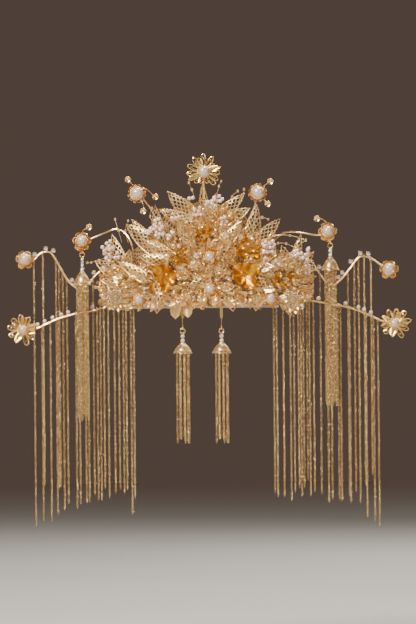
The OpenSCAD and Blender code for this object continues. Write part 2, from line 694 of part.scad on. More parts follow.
// The top flower: open loop petals and one or two leaves filled in
module top_flower() color("#E2BC72") {
    wire(top_stem, arm_r);
    end_flower(top_stem) {
        loops([92, 58, -5, -30, -52, -128, 188, 158, 127], loop_reach, 0.3 * top_pearl_d, 0.3);
        petals([14, 208], 0.9 * loop_reach, 0.34, 3 * loop_reach);
        cylinder(h = loop_wire, r = 0.42 * top_pearl_d, $fn = fine);
        pearl_cup(top_pearl_d);
    }
}
module top_pearl() pearl_at(top_stem, top_pearl_d);

// Crystals and pearls rest on top of the arm wire
module crystal() {
    crown = 0.3 * crystal_d;
    pavilion = 0.45 * crystal_d;
    cylinder(h = pavilion, r1 = 0.15 * crystal_d, r2 = crystal_d / 2, $fn = 8);
    translate([0, 0, pavilion]) cylinder(h = crown, r1 = crystal_d / 2, r2 = 0.3 * crystal_d, $fn = 8);
}
// How far above a sloping wire a round thing of radius r must sit
function slope_at(route, x) = let (a = arm_at(route, x - 1), b = arm_at(route, x + 1)) (b[2] - a[2]) / 2;
function above(route, x, r) = let (s = slope_at(route, x)) arm_at(route, x)
    + (arm_r + gap + r) * unit([-s, 0, 1]);
module arm_crystals() color("#EEF1F2") {
    for (a = crystals_left) translate(above(upper_left, -a * arm_reach, crystal_d / 2))
        translate([0, crystal_d * 0.375, 0]) rotate([90, 0, 0]) crystal();
    for (a = crystals_right) translate(above(upper_right, a * arm_reach, crystal_d / 2))
        translate([0, crystal_d * 0.375, 0]) rotate([90, 0, 0]) crystal();
}
module arm_pearls() color("#F2E9E4") {
    for (a = pearls_left) translate(above(lower_left, -a * arm_reach, arm_pearl_d / 2))
        sphere(arm_pearl_d / 2, $fn = 32);
    for (a = pearls_right) translate(above(lower_right, a * arm_reach, arm_pearl_d / 2))
        sphere(arm_pearl_d / 2, $fn = 32);
}

// A chain hangs plumb from a ring round the arm wire, a larger one where the wire is steep
module chain(route, x, low_z) {
    p = arm_at(route, x);
    steep = abs(slope_at(route, x));
    room = arm_r * sqrt(1 + steep * steep) + (hang_ring_wire + gap) * steep + gap;
    ring = max(room + hang_ring_wire, 2 * arm_r + hang_ring_wire);
    ring_z = p[2] + room - ring + hang_ring_wire;
    top = ring_z - ring;
    translate([p[0], p[1], ring_z]) rotate([0, 90, 0]) rotate_extrude($fn = fine)
        translate([ring, 0]) circle(hang_ring_wire, $fn = 16);
    translate([p[0], p[1], low_z]) cylinder(h = top - low_z, r = chain_d / 2, $fn = 16);
}
module curtain(route, side, rows) color("#C9A063")
    for (row = rows) chain(route, side * row[0] * arm_reach, -row[1] * curtain_depth);
module upper_curtain_left() curtain(upper_left, left, upper_chains_left);
module upper_curtain_right() curtain(upper_right, right, upper_chains_right);
module lower_curtain_left() curtain(lower_left, left, lower_chains_left);
module lower_curtain_right() curtain(lower_right, right, lower_chains_right);

// A ring that hangs in an eye, with a pin below it that the beads are threaded on
ring_hang = eye_r - 2 * ring_wire_r - gap / 2;
function ring_middle(eye_p) = eye_p - [0, 0, ring_hang + ring_r];
module ring_pin(eye_p, pin_l) color("#D8AF68") {
    p = ring_middle(eye_p);
    translate(p) rotate([90, 0, 0]) rotate_extrude($fn = fine) translate([ring_r, 0])
        circle(ring_wire_r, $fn = 24);
    translate(p - [0, 0, ring_r + pin_l]) cylinder(h = pin_l, r = ring_wire_r, $fn = 24);
}
// Threaded beads, the first just below the ring
module bead_string(eye_p, sizes, i = 0, top = undef) {
    start = is_undef(top) ? ring_middle(eye_p)[2] - ring_r - ring_wire_r - gap : top;
    d = sizes[i];
    translate([eye_p[0], eye_p[1], start - d / 2]) difference() {
        sphere(d / 2, $fn = 32);
        cylinder(h = 2 * d, r = ring_wire_r + seat_gap, center = true, $fn = 24);
    }
    if (i < len(sizes) - 1) bead_string(eye_p, sizes, i + 1, start - d - gap / 2);
}
function total(v, i = 0) = i < len(v) ? v[i] + gap / 2 + total(v, i + 1) : 0;
function cap_top(eye_p, sizes) = ring_middle(eye_p)[2] - ring_r - ring_wire_r - gap - total(sizes) - gap / 2;

// A tassel: a bell cap with its chains soldered inside it
pin_hold = 3;
module tassel(top, cap_r, cap_h, bundle_l, outer_n, inner_n) color("#CFA566") {
    neck_r = 0.32 * cap_r;
    strip_r = chain_d / 2;
    difference() {
        union() {
            translate(top - [0, 0, 0.3 * cap_h])
                cylinder(h = 0.3 * cap_h, r1 = 0.55 * cap_r, r2 = neck_r, $fn = fine);
            translate(top - [0, 0, 0.8 * cap_h])
                cylinder(h = 0.5 * cap_h, r1 = 0.95 * cap_r, r2 = 0.55 * cap_r, $fn = fine);
            translate(top - [0, 0, cap_h]) cylinder(h = 0.2 * cap_h, r = cap_r, $fn = fine);
        }
        translate(top - [0, 0, pin_hold]) cylinder(h = pin_hold + 1, r = ring_wire_r + seat_gap, $fn = 24);
    }
    for (i = [0:outer_n - 1]) {
        length = bundle_l * (1 - 0.025 * ((i * 3) % 4));
        translate(top - [0, 0, cap_h + length]) rotate(i * 360 / outer_n)
            translate([cap_r - strip_r - seat_gap, 0, 0]) cylinder(h = length + 1, r = strip_r, $fn = 12);
    }
    for (i = [0:inner_n - 1]) {
        length = bundle_l * (1 - 0.03 * ((i * 2) % 3));
        translate(top - [0, 0, cap_h + length]) rotate((i + 0.5) * 360 / inner_n)
            translate([0.42 * cap_r, 0, 0]) cylinder(h = length + 1, r = strip_r, $fn = 12);
    }
}

side_eye_left = eye_at(mid_left, 0);
side_eye_right = eye_at(mid_right, tassel_shift_right);
side_sizes_left = [for (s = [0.85, 0.85, 0.85, 1.2]) s * drop_bead_d];
side_sizes_right = [for (s = [1.2, 1.2]) s * drop_bead_d];
function pin_length(sizes) = ring_wire_r + gap + total(sizes) + gap / 2 + pin_hold - seat_gap;
function below(eye_p, sizes) = [eye_p[0], eye_p[1], cap_top(eye_p, sizes)];

module side_pin_left() ring_pin(side_eye_left, pin_length(side_sizes_left));
module side_pin_right() ring_pin(side_eye_right, pin_length(side_sizes_right));
module side_beads() color("#EFE8E0") {
    bead_string(side_eye_left, side_sizes_left);
    bead_string(side_eye_right, side_sizes_right);
}
module side_tassel(eye_p, sizes) tassel(below(eye_p, sizes), side_cap_r, side_cap_h, side_bundle_l, 9, 4);
module side_tassel_left() side_tassel(side_eye_left, side_sizes_left);
module side_tassel_right() side_tassel(side_eye_right, side_sizes_right);

// Front hooks: a flat tab on the backing's lower edge, a wire and an eye
tab_t = 0.8;
tab_up = 0.07;
tab_down = 10;
front_sizes = [drop_pearl_d, drop_pearl_d];
function front_eye(share) = let (x = share * fan_half_w)
    [x, backing_front_y(x, tab_w / 2) - tab_t / 2, -hook_drop];
module front_hook(share) color("#E2BC72") {
    p = front_eye(share);
    tab_top = tab_up * fan_h;
    translate([p[0] - tab_w / 2, p[1] - tab_t / 2, -tab_down]) cube([tab_w, tab_t, tab_top + tab_down]);
    translate([p[0], p[1], p[2] + eye_r - ring_wire_r / 2])
        cylinder(h = hook_drop - eye_r - tab_down + 1, r = ring_wire_r, $fn = 24);
    eye(p);
}
module front_hook_left() front_hook(front_drop_left);
module front_hook_right() front_hook(front_drop_right);
module front_pin_left() ring_pin(front_eye(front_drop_left), pin_length(front_sizes));
module front_pin_right() ring_pin(front_eye(front_drop_right), pin_length(front_sizes));
module front_pearls() color("#F2E9E4") {
    bead_string(front_eye(front_drop_left), front_sizes);
    bead_string(front_eye(front_drop_right), front_sizes);
}
module front_tassel(share)
    tassel(below(front_eye(share), front_sizes), front_cap_r, front_cap_h, front_bundle_l, 7, 3);
module front_tassel_left() front_tassel(front_drop_left);
module front_tassel_right() front_tassel(front_drop_right);

head_band();
backing();
crest_spray();
left_spray();
right_spray();
left_wing();
right_wing();
hem_spray();
heart_spray();
upper_arm_left();
upper_arm_right();
lower_arm_left();
lower_arm_right();
mid_arm_left();
mid_arm_right();
bud_stem_left();
bud_stem_right();
top_flower();
top_pearl();
bud_pearl_left();
bud_pearl_right();
mid_pearl_left();
mid_pearl_right();
upper_pearl_left();
upper_pearl_right();
lower_pearl_left();
lower_pearl_right();
crest_flower();
centre_flower();
low_flower_centre();
low_flower_left();
low_flower_right();
crest_bead();
centre_pearl();
low_pearl_centre();
low_pearl_left();
low_pearl_right();
gold_flower_left();
gold_flower_right();
rosette_left();
rosette_right();
rosette_stones();
arm_crystals();
arm_pearls();
upper_curtain_left();
upper_curtain_right();
lower_curtain_left();
lower_curtain_right();
side_pin_left();
side_pin_right();
side_beads();
side_tassel_left();
side_tassel_right();
front_hook_left();
front_hook_right();
front_pin_left();
front_pin_right();
front_pearls();
front_tassel_left();
front_tassel_right();
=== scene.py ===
import bmesh
import bpy
import json
import random
from math import acos, asin, ceil, cos, pi, radians, sin, sqrt, tau
from mathutils import Matrix, Vector


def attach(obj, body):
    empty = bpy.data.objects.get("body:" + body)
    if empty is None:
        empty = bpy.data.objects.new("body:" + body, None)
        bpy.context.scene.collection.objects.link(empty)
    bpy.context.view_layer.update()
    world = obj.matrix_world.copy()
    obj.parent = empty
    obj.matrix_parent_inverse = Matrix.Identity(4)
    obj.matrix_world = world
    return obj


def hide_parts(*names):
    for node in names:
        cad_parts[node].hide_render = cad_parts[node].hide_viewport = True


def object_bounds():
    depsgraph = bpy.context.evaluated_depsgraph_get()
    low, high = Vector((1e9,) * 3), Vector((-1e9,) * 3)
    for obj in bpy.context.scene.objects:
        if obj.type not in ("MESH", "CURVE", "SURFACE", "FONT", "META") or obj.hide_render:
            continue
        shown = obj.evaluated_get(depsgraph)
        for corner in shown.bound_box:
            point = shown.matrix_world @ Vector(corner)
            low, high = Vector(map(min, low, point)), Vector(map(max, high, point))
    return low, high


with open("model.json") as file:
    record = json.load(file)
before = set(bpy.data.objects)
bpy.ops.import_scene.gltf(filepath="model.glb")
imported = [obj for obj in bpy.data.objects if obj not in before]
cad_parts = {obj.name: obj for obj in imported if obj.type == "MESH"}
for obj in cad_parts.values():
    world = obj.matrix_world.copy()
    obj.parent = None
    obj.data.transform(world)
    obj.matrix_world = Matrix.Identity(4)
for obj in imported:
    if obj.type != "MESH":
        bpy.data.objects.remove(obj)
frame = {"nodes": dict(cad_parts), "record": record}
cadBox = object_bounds()
cadNodes = frame["nodes"]
print("packed crown loaded")

collection = bpy.context.scene.collection
hands = {"left": -1, "right": 1}

# Camera, floor and light
cameraView = {"distance": 5.0, "shownHeight": 0.624, "middle": (0.003, -0.06, -0.004), "roll": 0.55}
studio = {"underChains": 0.12, "radius": 14, "sides": 96, "litTo": 2.0, "fadeTo": 5.0,
          "haze": (0.085, 0.06, 0.047, 1)}
lamps = {  # place, size, power and tint
    "key": ((-1.0, -1.7, 1.4), 0.65, 98, (1.0, 0.95, 0.87)),
    "fill": ((1.7, -1.7, 0.4), 0.8, 10, (1.0, 0.96, 0.92)),
    "over": ((0.3, 0.2, 1.7), 0.5, 28, (1.0, 0.96, 0.9)),
    "front": ((0.5, -5.6, 0.9), 1.6, 9, (1.0, 0.97, 0.94)),
    "behind": ((0.9, 2.0, 1.2), 1.0, 34, (1.0, 0.96, 0.9)),
}
ambient = {"low": (0.03, 0.022, 0.016), "high": (0.52, 0.48, 0.43), "stops": (0.35, 1), "strength": 0.5}


def setCamera(view):
    data = bpy.data.cameras.new("camera")
    data.lens = data.sensor_width * view["distance"] / view["shownHeight"]
    camera = bpy.data.objects.new("camera", data)
    camera.location = Vector(view["middle"]) - Vector((0, view["distance"], 0))
    camera.rotation_euler = (pi / 2, radians(view["roll"]), 0)
    collection.objects.link(camera)
    bpy.context.scene.camera = camera


def setSockets(node, values):
    for socket, value in values.items():
        node.inputs[socket].default_value = value


def newMaterial(name, sockets):
    material = bpy.data.materials.new(name)
    material.use_nodes = True
    tree = material.node_tree
    shader = tree.nodes["Principled BSDF"]
    setSockets(shader, sockets)
    return material, tree, shader


def placeOn(tree, space="Object"):
    return tree.nodes.new("ShaderNodeTexCoord").outputs[space]


def noiseOn(tree, scale, detail):  # noise in the object's own space
    noise = tree.nodes.new("ShaderNodeTexNoise")
    setSockets(noise, {"Scale": scale, "Detail": detail})
    tree.links.new(placeOn(tree), noise.inputs["Vector"])
    return noise.outputs["Fac"]


def tintBy(tree, value, low, high, stops=(0.35, 0.65)):
    ramp = tree.nodes.new("ShaderNodeValToRGB")
    for element, stop, tint in zip(ramp.color_ramp.elements, stops, (low, high)):
        element.position = stop
        element.color = (*tint, 1)
    tree.links.new(value, ramp.inputs["Fac"])
    return ramp.outputs["Color"]


def mapped(tree, value, ends, easing="LINEAR"):
    span = tree.nodes.new("ShaderNodeMapRange")
    span.interpolation_type = easing
    setSockets(span, ends)
    tree.links.new(value, span.inputs["Value"])
    return span.outputs["Result"]


def bumpFrom(tree, shader, value, strength, depth):
    bump = tree.nodes.new("ShaderNodeBump")
    setSockets(bump, {"Strength": strength, "Distance": depth})
    tree.links.new(value, bump.inputs["Height"])
    tree.links.new(bump.outputs["Normal"], shader.inputs["Normal"])


def mixShaders(tree, share, first, second, output):
    mix = tree.nodes.new("ShaderNodeMixShader")
    for value, socket in zip((share, first, second), mix.inputs):
        tree.links.new(value, socket)
    tree.links.new(mix.outputs["Shader"], tree.nodes[output].inputs["Surface"])


kinds = {
    "metal": {"detail": (3, 4), "depth": 0.0002, "sockets": {"Metallic": 1}},
    "pearl": {"detail": (2, 2), "depth": 0.0001, "sockets": {
        "Metallic": 0.12, "Coat Weight": 1, "Coat Roughness": 0.26, "Coat IOR": 2.5}},
    "stone": {"detail": (1, 2), "sockets": {"Metallic": 0.8, "IOR": 1.75, "Coat Weight": 0.6}},
}


def grainedFinish(name, kind, tint, shade, patches, grain, polish, relief, stops=(0.35, 0.65)):
    look = kinds[kind]
    material, tree, shader = newMaterial(name, look["sockets"])
    clouds = noiseOn(tree, patches, look["detail"][0])
    tree.links.new(tintBy(tree, clouds, shade, tint, stops), shader.inputs["Base Color"])
    skin = noiseOn(tree, grain, look["detail"][1])
    worn = mapped(tree, skin, {"To Min": polish[0], "To Max": polish[1]})
    tree.links.new(worn, shader.inputs["Roughness"])
    if relief:
        bumpFrom(tree, shader, skin, relief, look["depth"])
    return material


def ribbonFinish(name, look):  # satin ribbon: fine weave and a soft sheen
    material, tree, shader = newMaterial(name, {"Roughness": 0.62, "Sheen Weight": 0.5})
    wear = noiseOn(tree, look["wear"], 3)
    tree.links.new(tintBy(tree, wear, look["shade"], look["tint"]), shader.inputs["Base Color"])
    weave = tree.nodes.new("ShaderNodeTexWave")
    weave.bands_direction = "Z"
    setSockets(weave, {"Scale": look["threads"], "Distortion": 0.6})
    tree.links.new(placeOn(tree), weave.inputs["Vector"])
    bumpFrom(tree, shader, weave.outputs["Fac"], 0.35, 0.0002)
    return material


def floorFinish(name, look):  # pale near the crown, and further out the same haze as the background
    material, tree, shader = newMaterial(name, {"Roughness": 0.9})
    clouds = noiseOn(tree, look["clouds"], 2)
    tree.links.new(tintBy(tree, clouds, look["shade"], look["tint"]), shader.inputs["Base Color"])
    haze = tree.nodes.new("ShaderNodeEmission")
    setSockets(haze, {"Color": studio["haze"]})
    reach = tree.nodes.new("ShaderNodeVectorMath")
    reach.operation = "LENGTH"
    tree.links.new(placeOn(tree), reach.inputs[0])
    fade = mapped(tree, reach.outputs["Value"], {"From Min": studio["litTo"], "From Max": studio["fadeTo"]},
                  "SMOOTHSTEP")
    mixShaders(tree, fade, shader.outputs["BSDF"], haze.outputs["Emission"], "Material Output")
    return material


grained = {  # kind, tint, shade, scale of patches and grain, roughness from and to, relief, ramp stops
    "paleGold": ("metal", (0.96, 0.66, 0.27), (0.84, 0.49, 0.14), 200, 1500, (0.18, 0.34), 0.12),
    "armGold": ("metal", (1.0, 0.71, 0.34), (0.88, 0.54, 0.19), 120, 1500, (0.18, 0.34), 0.1),
    "cupGold": ("metal", (0.97, 0.74, 0.41), (0.88, 0.6, 0.27), 160, 1500, (0.22, 0.4), 0.12),
    "leafGold": ("metal", (0.95, 0.68, 0.32), (0.76, 0.46, 0.17), 160, 1500, (0.3, 0.46), 0.14),
    "champagne": ("metal", (1.0, 0.79, 0.44), (0.91, 0.6, 0.24), 200, 1500, (0.2, 0.4), 0.12),
    "brightGold": ("metal", (0.96, 0.67, 0.25), (0.85, 0.51, 0.14), 110, 1700, (0.16, 0.32), 0.1),
    # the backing's dark brown gold is painted shade, so that it reads as shadow through the holes in front
    # of it
    "backGold": ("metal", (0.5, 0.31, 0.12), (0.34, 0.2, 0.07), 70, 1200, (0.36, 0.56), 0.16),
    "deepGold": ("metal", (0.8, 0.41, 0.04), (0.54, 0.22, 0.012), 160, 1300, (0.28, 0.48), 0.25),
    # the chain's hard-edged dark and bright patches, about a link across, are painted glints and painted
    # shade between the links, and partly a patchy tarnish
    "chainGold": ("metal", (1.0, 0.75, 0.35), (0.56, 0.33, 0.11), 420, 2400, (0.18, 0.34), 0.08,
                  (0.44, 0.56)),
    "goldBead": ("metal", (0.98, 0.72, 0.16), (0.92, 0.6, 0.1), 200, 1200, (0.1, 0.2), 0.05),
    "pearl": ("pearl", (0.72, 0.49, 0.33), (0.66, 0.42, 0.3), 180, 900, (0.2, 0.34), 0.06),
    "seedPearl": ("pearl", (0.93, 0.67, 0.5), (0.88, 0.59, 0.46), 120, 900, (0.2, 0.34), 0.06),
    "crystal": ("stone", (1.0, 0.88, 0.73), (1.0, 0.93, 0.84), 300, 2200, (0.0, 0.06), 0),
}
finishes = {name: grainedFinish(name, *row) for name, row in grained.items()}
finishes["ribbon"] = ribbonFinish("ribbon", {
    "tint": (0.66, 0.52, 0.45), "shade": (0.54, 0.41, 0.35), "wear": 130, "threads": 900})
finishes["floor"] = floorFinish("floor", {
    "tint": (0.55, 0.53, 0.5), "shade": (0.52, 0.5, 0.47), "clouds": 1.5})
finishOfSlot = {
    "wrapped_band": "ribbon", "pearl": "pearl", "gold_bead": "goldBead", "crystal": "crystal",
    "deep_gold": "deepGold", "chain_gold": "chainGold", "leaf_gold": "paleGold",
    "bright_gold": "brightGold"}


def dressPackedNodes():
    slotOf = {part["node"]: part["material_slot"] for part in frame["record"]["subparts"]}
    for name, node in cadNodes.items():
        node.data.materials.clear()
        node.data.materials.append(finishes[finishOfSlot[slotOf[name]]])


def makeFloor():
    bm = bmesh.new()
    bmesh.ops.create_circle(bm, cap_ends=True, segments=studio["sides"], radius=studio["radius"])
    mesh = bpy.data.meshes.new("floor")
    bm.to_mesh(mesh)
    bm.free()
    mesh.materials.append(finishes["floor"])
    floor = bpy.data.objects.new("floor", mesh)
    floor.location.z = cadBox[0][2] - studio["underChains"]
    collection.objects.link(floor)


def hangLamps():
    aim = Vector(cameraView["middle"])
    for name, (place, size, power, tint) in lamps.items():
        data = bpy.data.lights.new(name, "AREA")
        data.energy, data.size, data.color = power, size, tint
        light = bpy.data.objects.new(name, data)
        light.location = place
        light.rotation_euler = (aim - Vector(place)).to_track_quat("-Z", "Y").to_euler()
        light.visible_camera = False
        collection.objects.link(light)


def makeWorld():  # soft light from above, and the haze that the camera sees behind the crown
    world = bpy.data.worlds.new("world")
    world.use_nodes = True
    tree = world.node_tree
    sky = tree.nodes["Background"]
    setSockets(sky, {"Strength": ambient["strength"]})
    height = tree.nodes.new("ShaderNodeSeparateXYZ")
    tree.links.new(placeOn(tree, "Generated"), height.inputs["Vector"])
    raised = mapped(tree, height.outputs["Z"], {"To Min": 0.5, "To Max": 1})
    glow = tintBy(tree, raised, ambient["low"], ambient["high"], ambient["stops"])
    tree.links.new(glow, sky.inputs["Color"])
    seen = tree.nodes.new("ShaderNodeBackground")
    setSockets(seen, {"Color": studio["haze"]})
    rays = tree.nodes.new("ShaderNodeLightPath")
    mixShaders(tree, rays.outputs["Is Camera Ray"], sky.outputs["Background"], seen.outputs["Background"],
               "World Output")
    bpy.context.scene.world = world


setCamera(cameraView)
makeFloor()
hangLamps()
makeWorld()
dressPackedNodes()
print("camera, floor, lights and finishes set")


# Shapes are made in millimetres and brought to metres when a piece is kept
counts = []


def keepPiece(name, bm, finish, slotName, *replaced, crease=40):
    bmesh.ops.scale(bm, vec=(0.001, 0.001, 0.001), verts=bm.verts)
    mesh = bpy.data.meshes.new(name)
    bm.to_mesh(mesh)
    bm.free()
    mesh.shade_smooth()
    mesh.set_sharp_from_angle(angle=radians(crease))
    mesh.materials.append(finishes[finish])
    piece = bpy.data.objects.new(name, mesh)
    collection.objects.link(piece)
    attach(piece, "root")
    if replaced:
        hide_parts(*replaced)
    mesh.calc_loop_triangles()
    counts.append(len(mesh.loop_triangles))
    print(f"  {name}: {counts[-1]} triangles")


def rise(z):
    return Vector((0, 0, z))


def polar(r, a, z=0.0):
    return Vector((r * cos(a), r * sin(a), z))


def moved(place):
    return Matrix.Translation(place)


def rotated(angle, axis="Z"):
    return Matrix.Rotation(angle, 4, axis)


def scaled(size, *axis):
    return Matrix.Scale(size, 4, *axis)


def facing(place):  # local Z to the front, local Y up
    return moved(place) @ rotated(pi / 2, "X")


def angles(count, start=0.0):
    return [tau * (i + start) / count for i in range(count)]


def template(bm):
    mesh = bpy.data.meshes.new("template")
    bmesh.ops.recalc_face_normals(bm, faces=bm.faces)
    bm.to_mesh(mesh)
    bm.free()
    return mesh


def stamp(bm, mesh, matrix):  # a copy of a template, put in its place
    copy = mesh.copy()
    copy.transform(matrix)
    bm.from_mesh(copy)
    bpy.data.meshes.remove(copy)


def pour(bm, source, matrix=None):  # one bmesh into another
    if matrix:
        bmesh.ops.transform(source, matrix=matrix, verts=source.verts)
    mesh = template(source)
    bm.from_mesh(mesh)
    bpy.data.meshes.remove(mesh)


def modified(mesh, kind, **settings):  # the mesh that a modifier makes of this one
    holder = bpy.data.objects.new("holder", mesh)
    collection.objects.link(holder)
    modifier = holder.modifiers.new("shape", kind)
    for setting, value in settings.items():
        setattr(modifier, setting, value)
    shown = holder.evaluated_get(bpy.context.evaluated_depsgraph_get())
    made = bpy.data.meshes.new_from_object(shown)
    bpy.data.objects.remove(holder)
    return made


def addWires(bm, wires, sides):  # round wires, each as (points, radius), and closed where True follows
    curve = bpy.data.curves.new("wires", "CURVE")
    curve.dimensions = "3D"
    curve.bevel_depth = 1
    curve.bevel_resolution = (sides - 4) // 2
    curve.use_fill_caps = True
    for points, radius, *closed in wires:
        spline = curve.splines.new("POLY")
        spline.points.add(len(points) - 1)
        for place, point in zip(points, spline.points):
            point.co = (*place, 1)
            point.radius = radius
        spline.use_cyclic_u = bool(closed)
    holder = bpy.data.objects.new("wires", curve)
    mesh = bpy.data.meshes.new_from_object(holder)
    bm.from_mesh(mesh)
    bpy.data.objects.remove(holder)
    bpy.data.curves.remove(curve)
    bpy.data.meshes.remove(mesh)


def turned(profile, steps):  # a shape turned round Z from (radius, height) points
    bm = bmesh.new()
    verts = [bm.verts.new((r, 0, z)) for r, z in profile]
    edges = [bm.edges.new(pair) for pair in zip(verts, verts[1:])]
    bmesh.ops.spin(bm, geom=verts + edges, cent=(0, 0, 0), axis=(0, 0, 1), angle=tau, steps=steps,
                   use_merge=True)
    bmesh.ops.remove_doubles(bm, verts=bm.verts, dist=0.001)
    return bm


def ball(radius, steps, rings, bore=0.0):  # a bead, drilled along Z where bore is above 0
    start = bore / radius
    arc = [(radius * sin(a), radius * cos(a)) for a in
           (start + (pi - 2 * start) * i / rings for i in range(rings + 1))]
    return turned(arc + [arc[0]] if bore else arc, steps)


def ring(radius, wire, steps, sides=6):  # a ring round Z
    return turned([(radius + wire * cos(a), wire * sin(a)) for a in angles(sides) + [tau]], steps)


def addPost(bm, matrix, radius, low, high, steps=14):  # a round post or plate
    pour(bm, turned([(0, low), (radius, low), (radius, high), (0, high)], steps), matrix)


granule = template(ball(1, 6, 4))
fineGranule = template(ball(1, 6, 3))


def ballAt(bm, place, radius, mesh=granule):
    stamp(bm, mesh, moved(place) @ scaled(radius))


def beadRing(bm, matrix, radius, size, count):
    for a in angles(count):
        stamp(bm, fineGranule, matrix @ moved(polar(radius, a)) @ scaled(size))


def pierce(sheet, share):  # turns a grid's squares into diamonds and opens them
    inner = [e for e in sheet.edges if not e.is_boundary]
    bmesh.ops.poke(sheet, faces=sheet.faces[:])
    bmesh.ops.dissolve_edges(sheet, edges=inner, use_verts=False)
    diamonds = [f for f in sheet.faces if len(f.verts) == 4]
    bmesh.ops.inset_individual(sheet, faces=diamonds, thickness=0, depth=0)
    for face in diamonds:
        middle = face.calc_center_median()
        for v in face.verts:
            v.co = middle.lerp(v.co, share)
    bmesh.ops.delete(sheet, geom=diamonds, context="FACES")


def addSheet(bm, pointAt, across, along, thick, opened=0.0):  # u runs -1 to 1 across, t 0 to 1 along
    sheet = bmesh.new()
    bmesh.ops.create_grid(sheet, x_segments=across, y_segments=along, size=1)
    if opened:
        pierce(sheet, opened)
    for v in sheet.verts:
        v.co = pointAt(v.co.x, (v.co.y + 1) / 2)
    bmesh.ops.remove_doubles(sheet, verts=sheet.verts, dist=0.02)
    bmesh.ops.recalc_face_normals(sheet, faces=sheet.faces)
    bmesh.ops.solidify(sheet, geom=sheet.faces[:], thickness=thick)
    pour(bm, sheet)


def edgeOf(pointAt, u, steps):
    return [pointAt(u, i / steps) for i in range(steps + 1)]


def rimOf(pointAt, steps):  # up one side and down the other
    return edgeOf(pointAt, -1, steps) + edgeOf(pointAt, 1, steps)[-2::-1]


# The fan is bent round an upright axis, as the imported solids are
clearance = 0.3
fan = {"halfWidth": 110, "height": 124, "bend": 150, "axisY": 75.1, "layerStep": 2, "leafThick": 0.9,
       "backing": 1.2}
fan["frontRadius"] = fan["bend"] + 3 * fan["layerStep"] + fan["leafThick"] + clearance
fan["footRadius"] = fan["frontRadius"] - 0.6  # where stems end in the leaves


def onFan(share):
    return Vector((share[0] * fan["halfWidth"], share[1] * fan["height"]))


def wallY(radius, x):
    return fan["axisY"] - sqrt(radius * radius - x * x)


def onWall(x, z, radius):
    return Vector((x, wallY(radius, x), z))


def backingFrontY(x, half):  # just in front of the backing, for a part of this half width
    return wallY(fan["bend"] + fan["backing"] + clearance, max(abs(x) - half, 0))


# Arms and stems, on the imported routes: across and up as shares, and how far out of the fan
arms = {
    "reach": 180, "wire": 0.8, "ringRoom": 2.9, "cuts": 6, "stemPlane": 78, "post": 1.6, "postFoot": -3.2,
    "wrap": 0.2, "wrapPitch": 1.15, "wrapSteps": 7,
    "upper": {"height": 58, "plane": 28}, "lower": {"height": 20, "plane": 36},
    "mid": {"height": 80, "plane": 48}}
routes = {
    "upperLeft": [
        (1.003, 0.88, 1), (0.955, 0.865, 1), (0.92, 0.97, 1), (0.87, 1, 1), (0.84, 0.9, 1), (0.77, 0.52, 1),
        (0.715, 0.37, 1), (0.665, 0.39, 1), (0.605, 0.6, 1), (0.53, 0.8, 0.5), (0.46, 0.88, -0.5),
        (0.42, 0.84, -1)],
    "upperRight": [
        (1.03, 0.65, 1), (0.985, 0.72, 1), (0.95, 0.8, 1), (0.9, 0.87, 1), (0.857, 0.84, 1),
        (0.807, 0.64, 1), (0.746, 0.43, 1), (0.694, 0.39, 1), (0.63, 0.64, 1), (0.6, 0.78, 1),
        (0.54, 0.86, 0.5), (0.47, 0.86, -0.5), (0.43, 0.82, -1)],
    "lowerLeft": [
        (1.017, -1.0, 1), (0.945, -0.95, 1), (0.89, -0.74, 1), (0.82, -0.47, 1), (0.715, -0.2, 1),
        (0.64, -0.09, 1), (0.59, 0.02, 0.9), (0.54, 0.12, 0), (0.46, 0.13, 0), (0.39, 0.13, 0),
        (0.355, 0.25, -0.6), (0.33, 0.4, -1)],
    "lowerRight": [
        (1.055, -0.85, 1), (0.99, -0.75, 1), (0.91, -0.41, 1), (0.833, -0.125, 1), (0.748, 0.08, 1),
        (0.653, 0.23, 1), (0.6, 0.32, 0.9), (0.55, 0.33, 0), (0.46, 0.33, 0), (0.37, 0.33, 0),
        (0.34, 0.36, -0.6), (0.31, 0.4, -1)],
    "midLeft": [
        (0.682, 0.86, 1), (0.64, 0.875, 1), (0.567, 0.945, 0.9), (0.508, 0.995, 0.45), (0.478, 0.995, 0.2),
        (0.448, 0.96, 0), (0.419, 0.88, 0), (0.401, 0.78, 0), (0.398, 0.7, 0), (0.389, 0.55, -1),
        (0.378, 0.44, -1)],
    "midRight": [
        (0.686, 0.95, 1), (0.636, 0.9, 1), (0.554, 0.93, 0.9), (0.493, 0.945, 0.4), (0.458, 0.94, 0.1),
        (0.433, 0.92, 0), (0.4, 0.863, 0), (0.383, 0.796, 0), (0.368, 0.6, -1), (0.371, 0.44, -1)],
    "budLeft": [
        (-0.606, 0.926, 1), (-0.53, 0.86, 0.6), (-0.48, 0.8, 0.2), (-0.43, 0.7, 0), (-0.38, 0.6, -1),
        (-0.35, 0.52, -1)],
    "budRight": [
        (0.487, 0.924, 1), (0.475, 0.87, 0.4), (0.45, 0.8, 0.1), (0.41, 0.7, 0), (0.36, 0.6, -1),
        (0.34, 0.52, -1)],
    "top": [(0, 1.097, 1), (0, 1.03, 0.2), (0, 0.98, 0), (0, 0.84, -1), (0, 0.7, -1)],
}


def smoothed(points, cuts):  # a smooth curve through the points
    done = []
    for i in range(len(points) - 1):
        a, b, c, d = (Vector(points[min(max(k, 0), len(points) - 1)]) for k in range(i - 1, i + 3))
        for j in range(cuts):
            t = j / cuts
            done.append((2 * b + (c - a) * t + (2 * a - 5 * b + 4 * c - d) * t ** 2
                         + (3 * b - a - 3 * c + d) * t ** 3) / 2)
    return done + [Vector(points[-1])]


def wireY(x, out, plane):
    share = abs(out)
    behind = fan["bend"] - (clearance + arms["wire"] if out < 0 else arms["ringRoom"])
    rail = wallY(fan["bend"] - arms["ringRoom"], x)
    return (1 - share) * rail + share * (wallY(behind, x) if out < 0 else -plane)


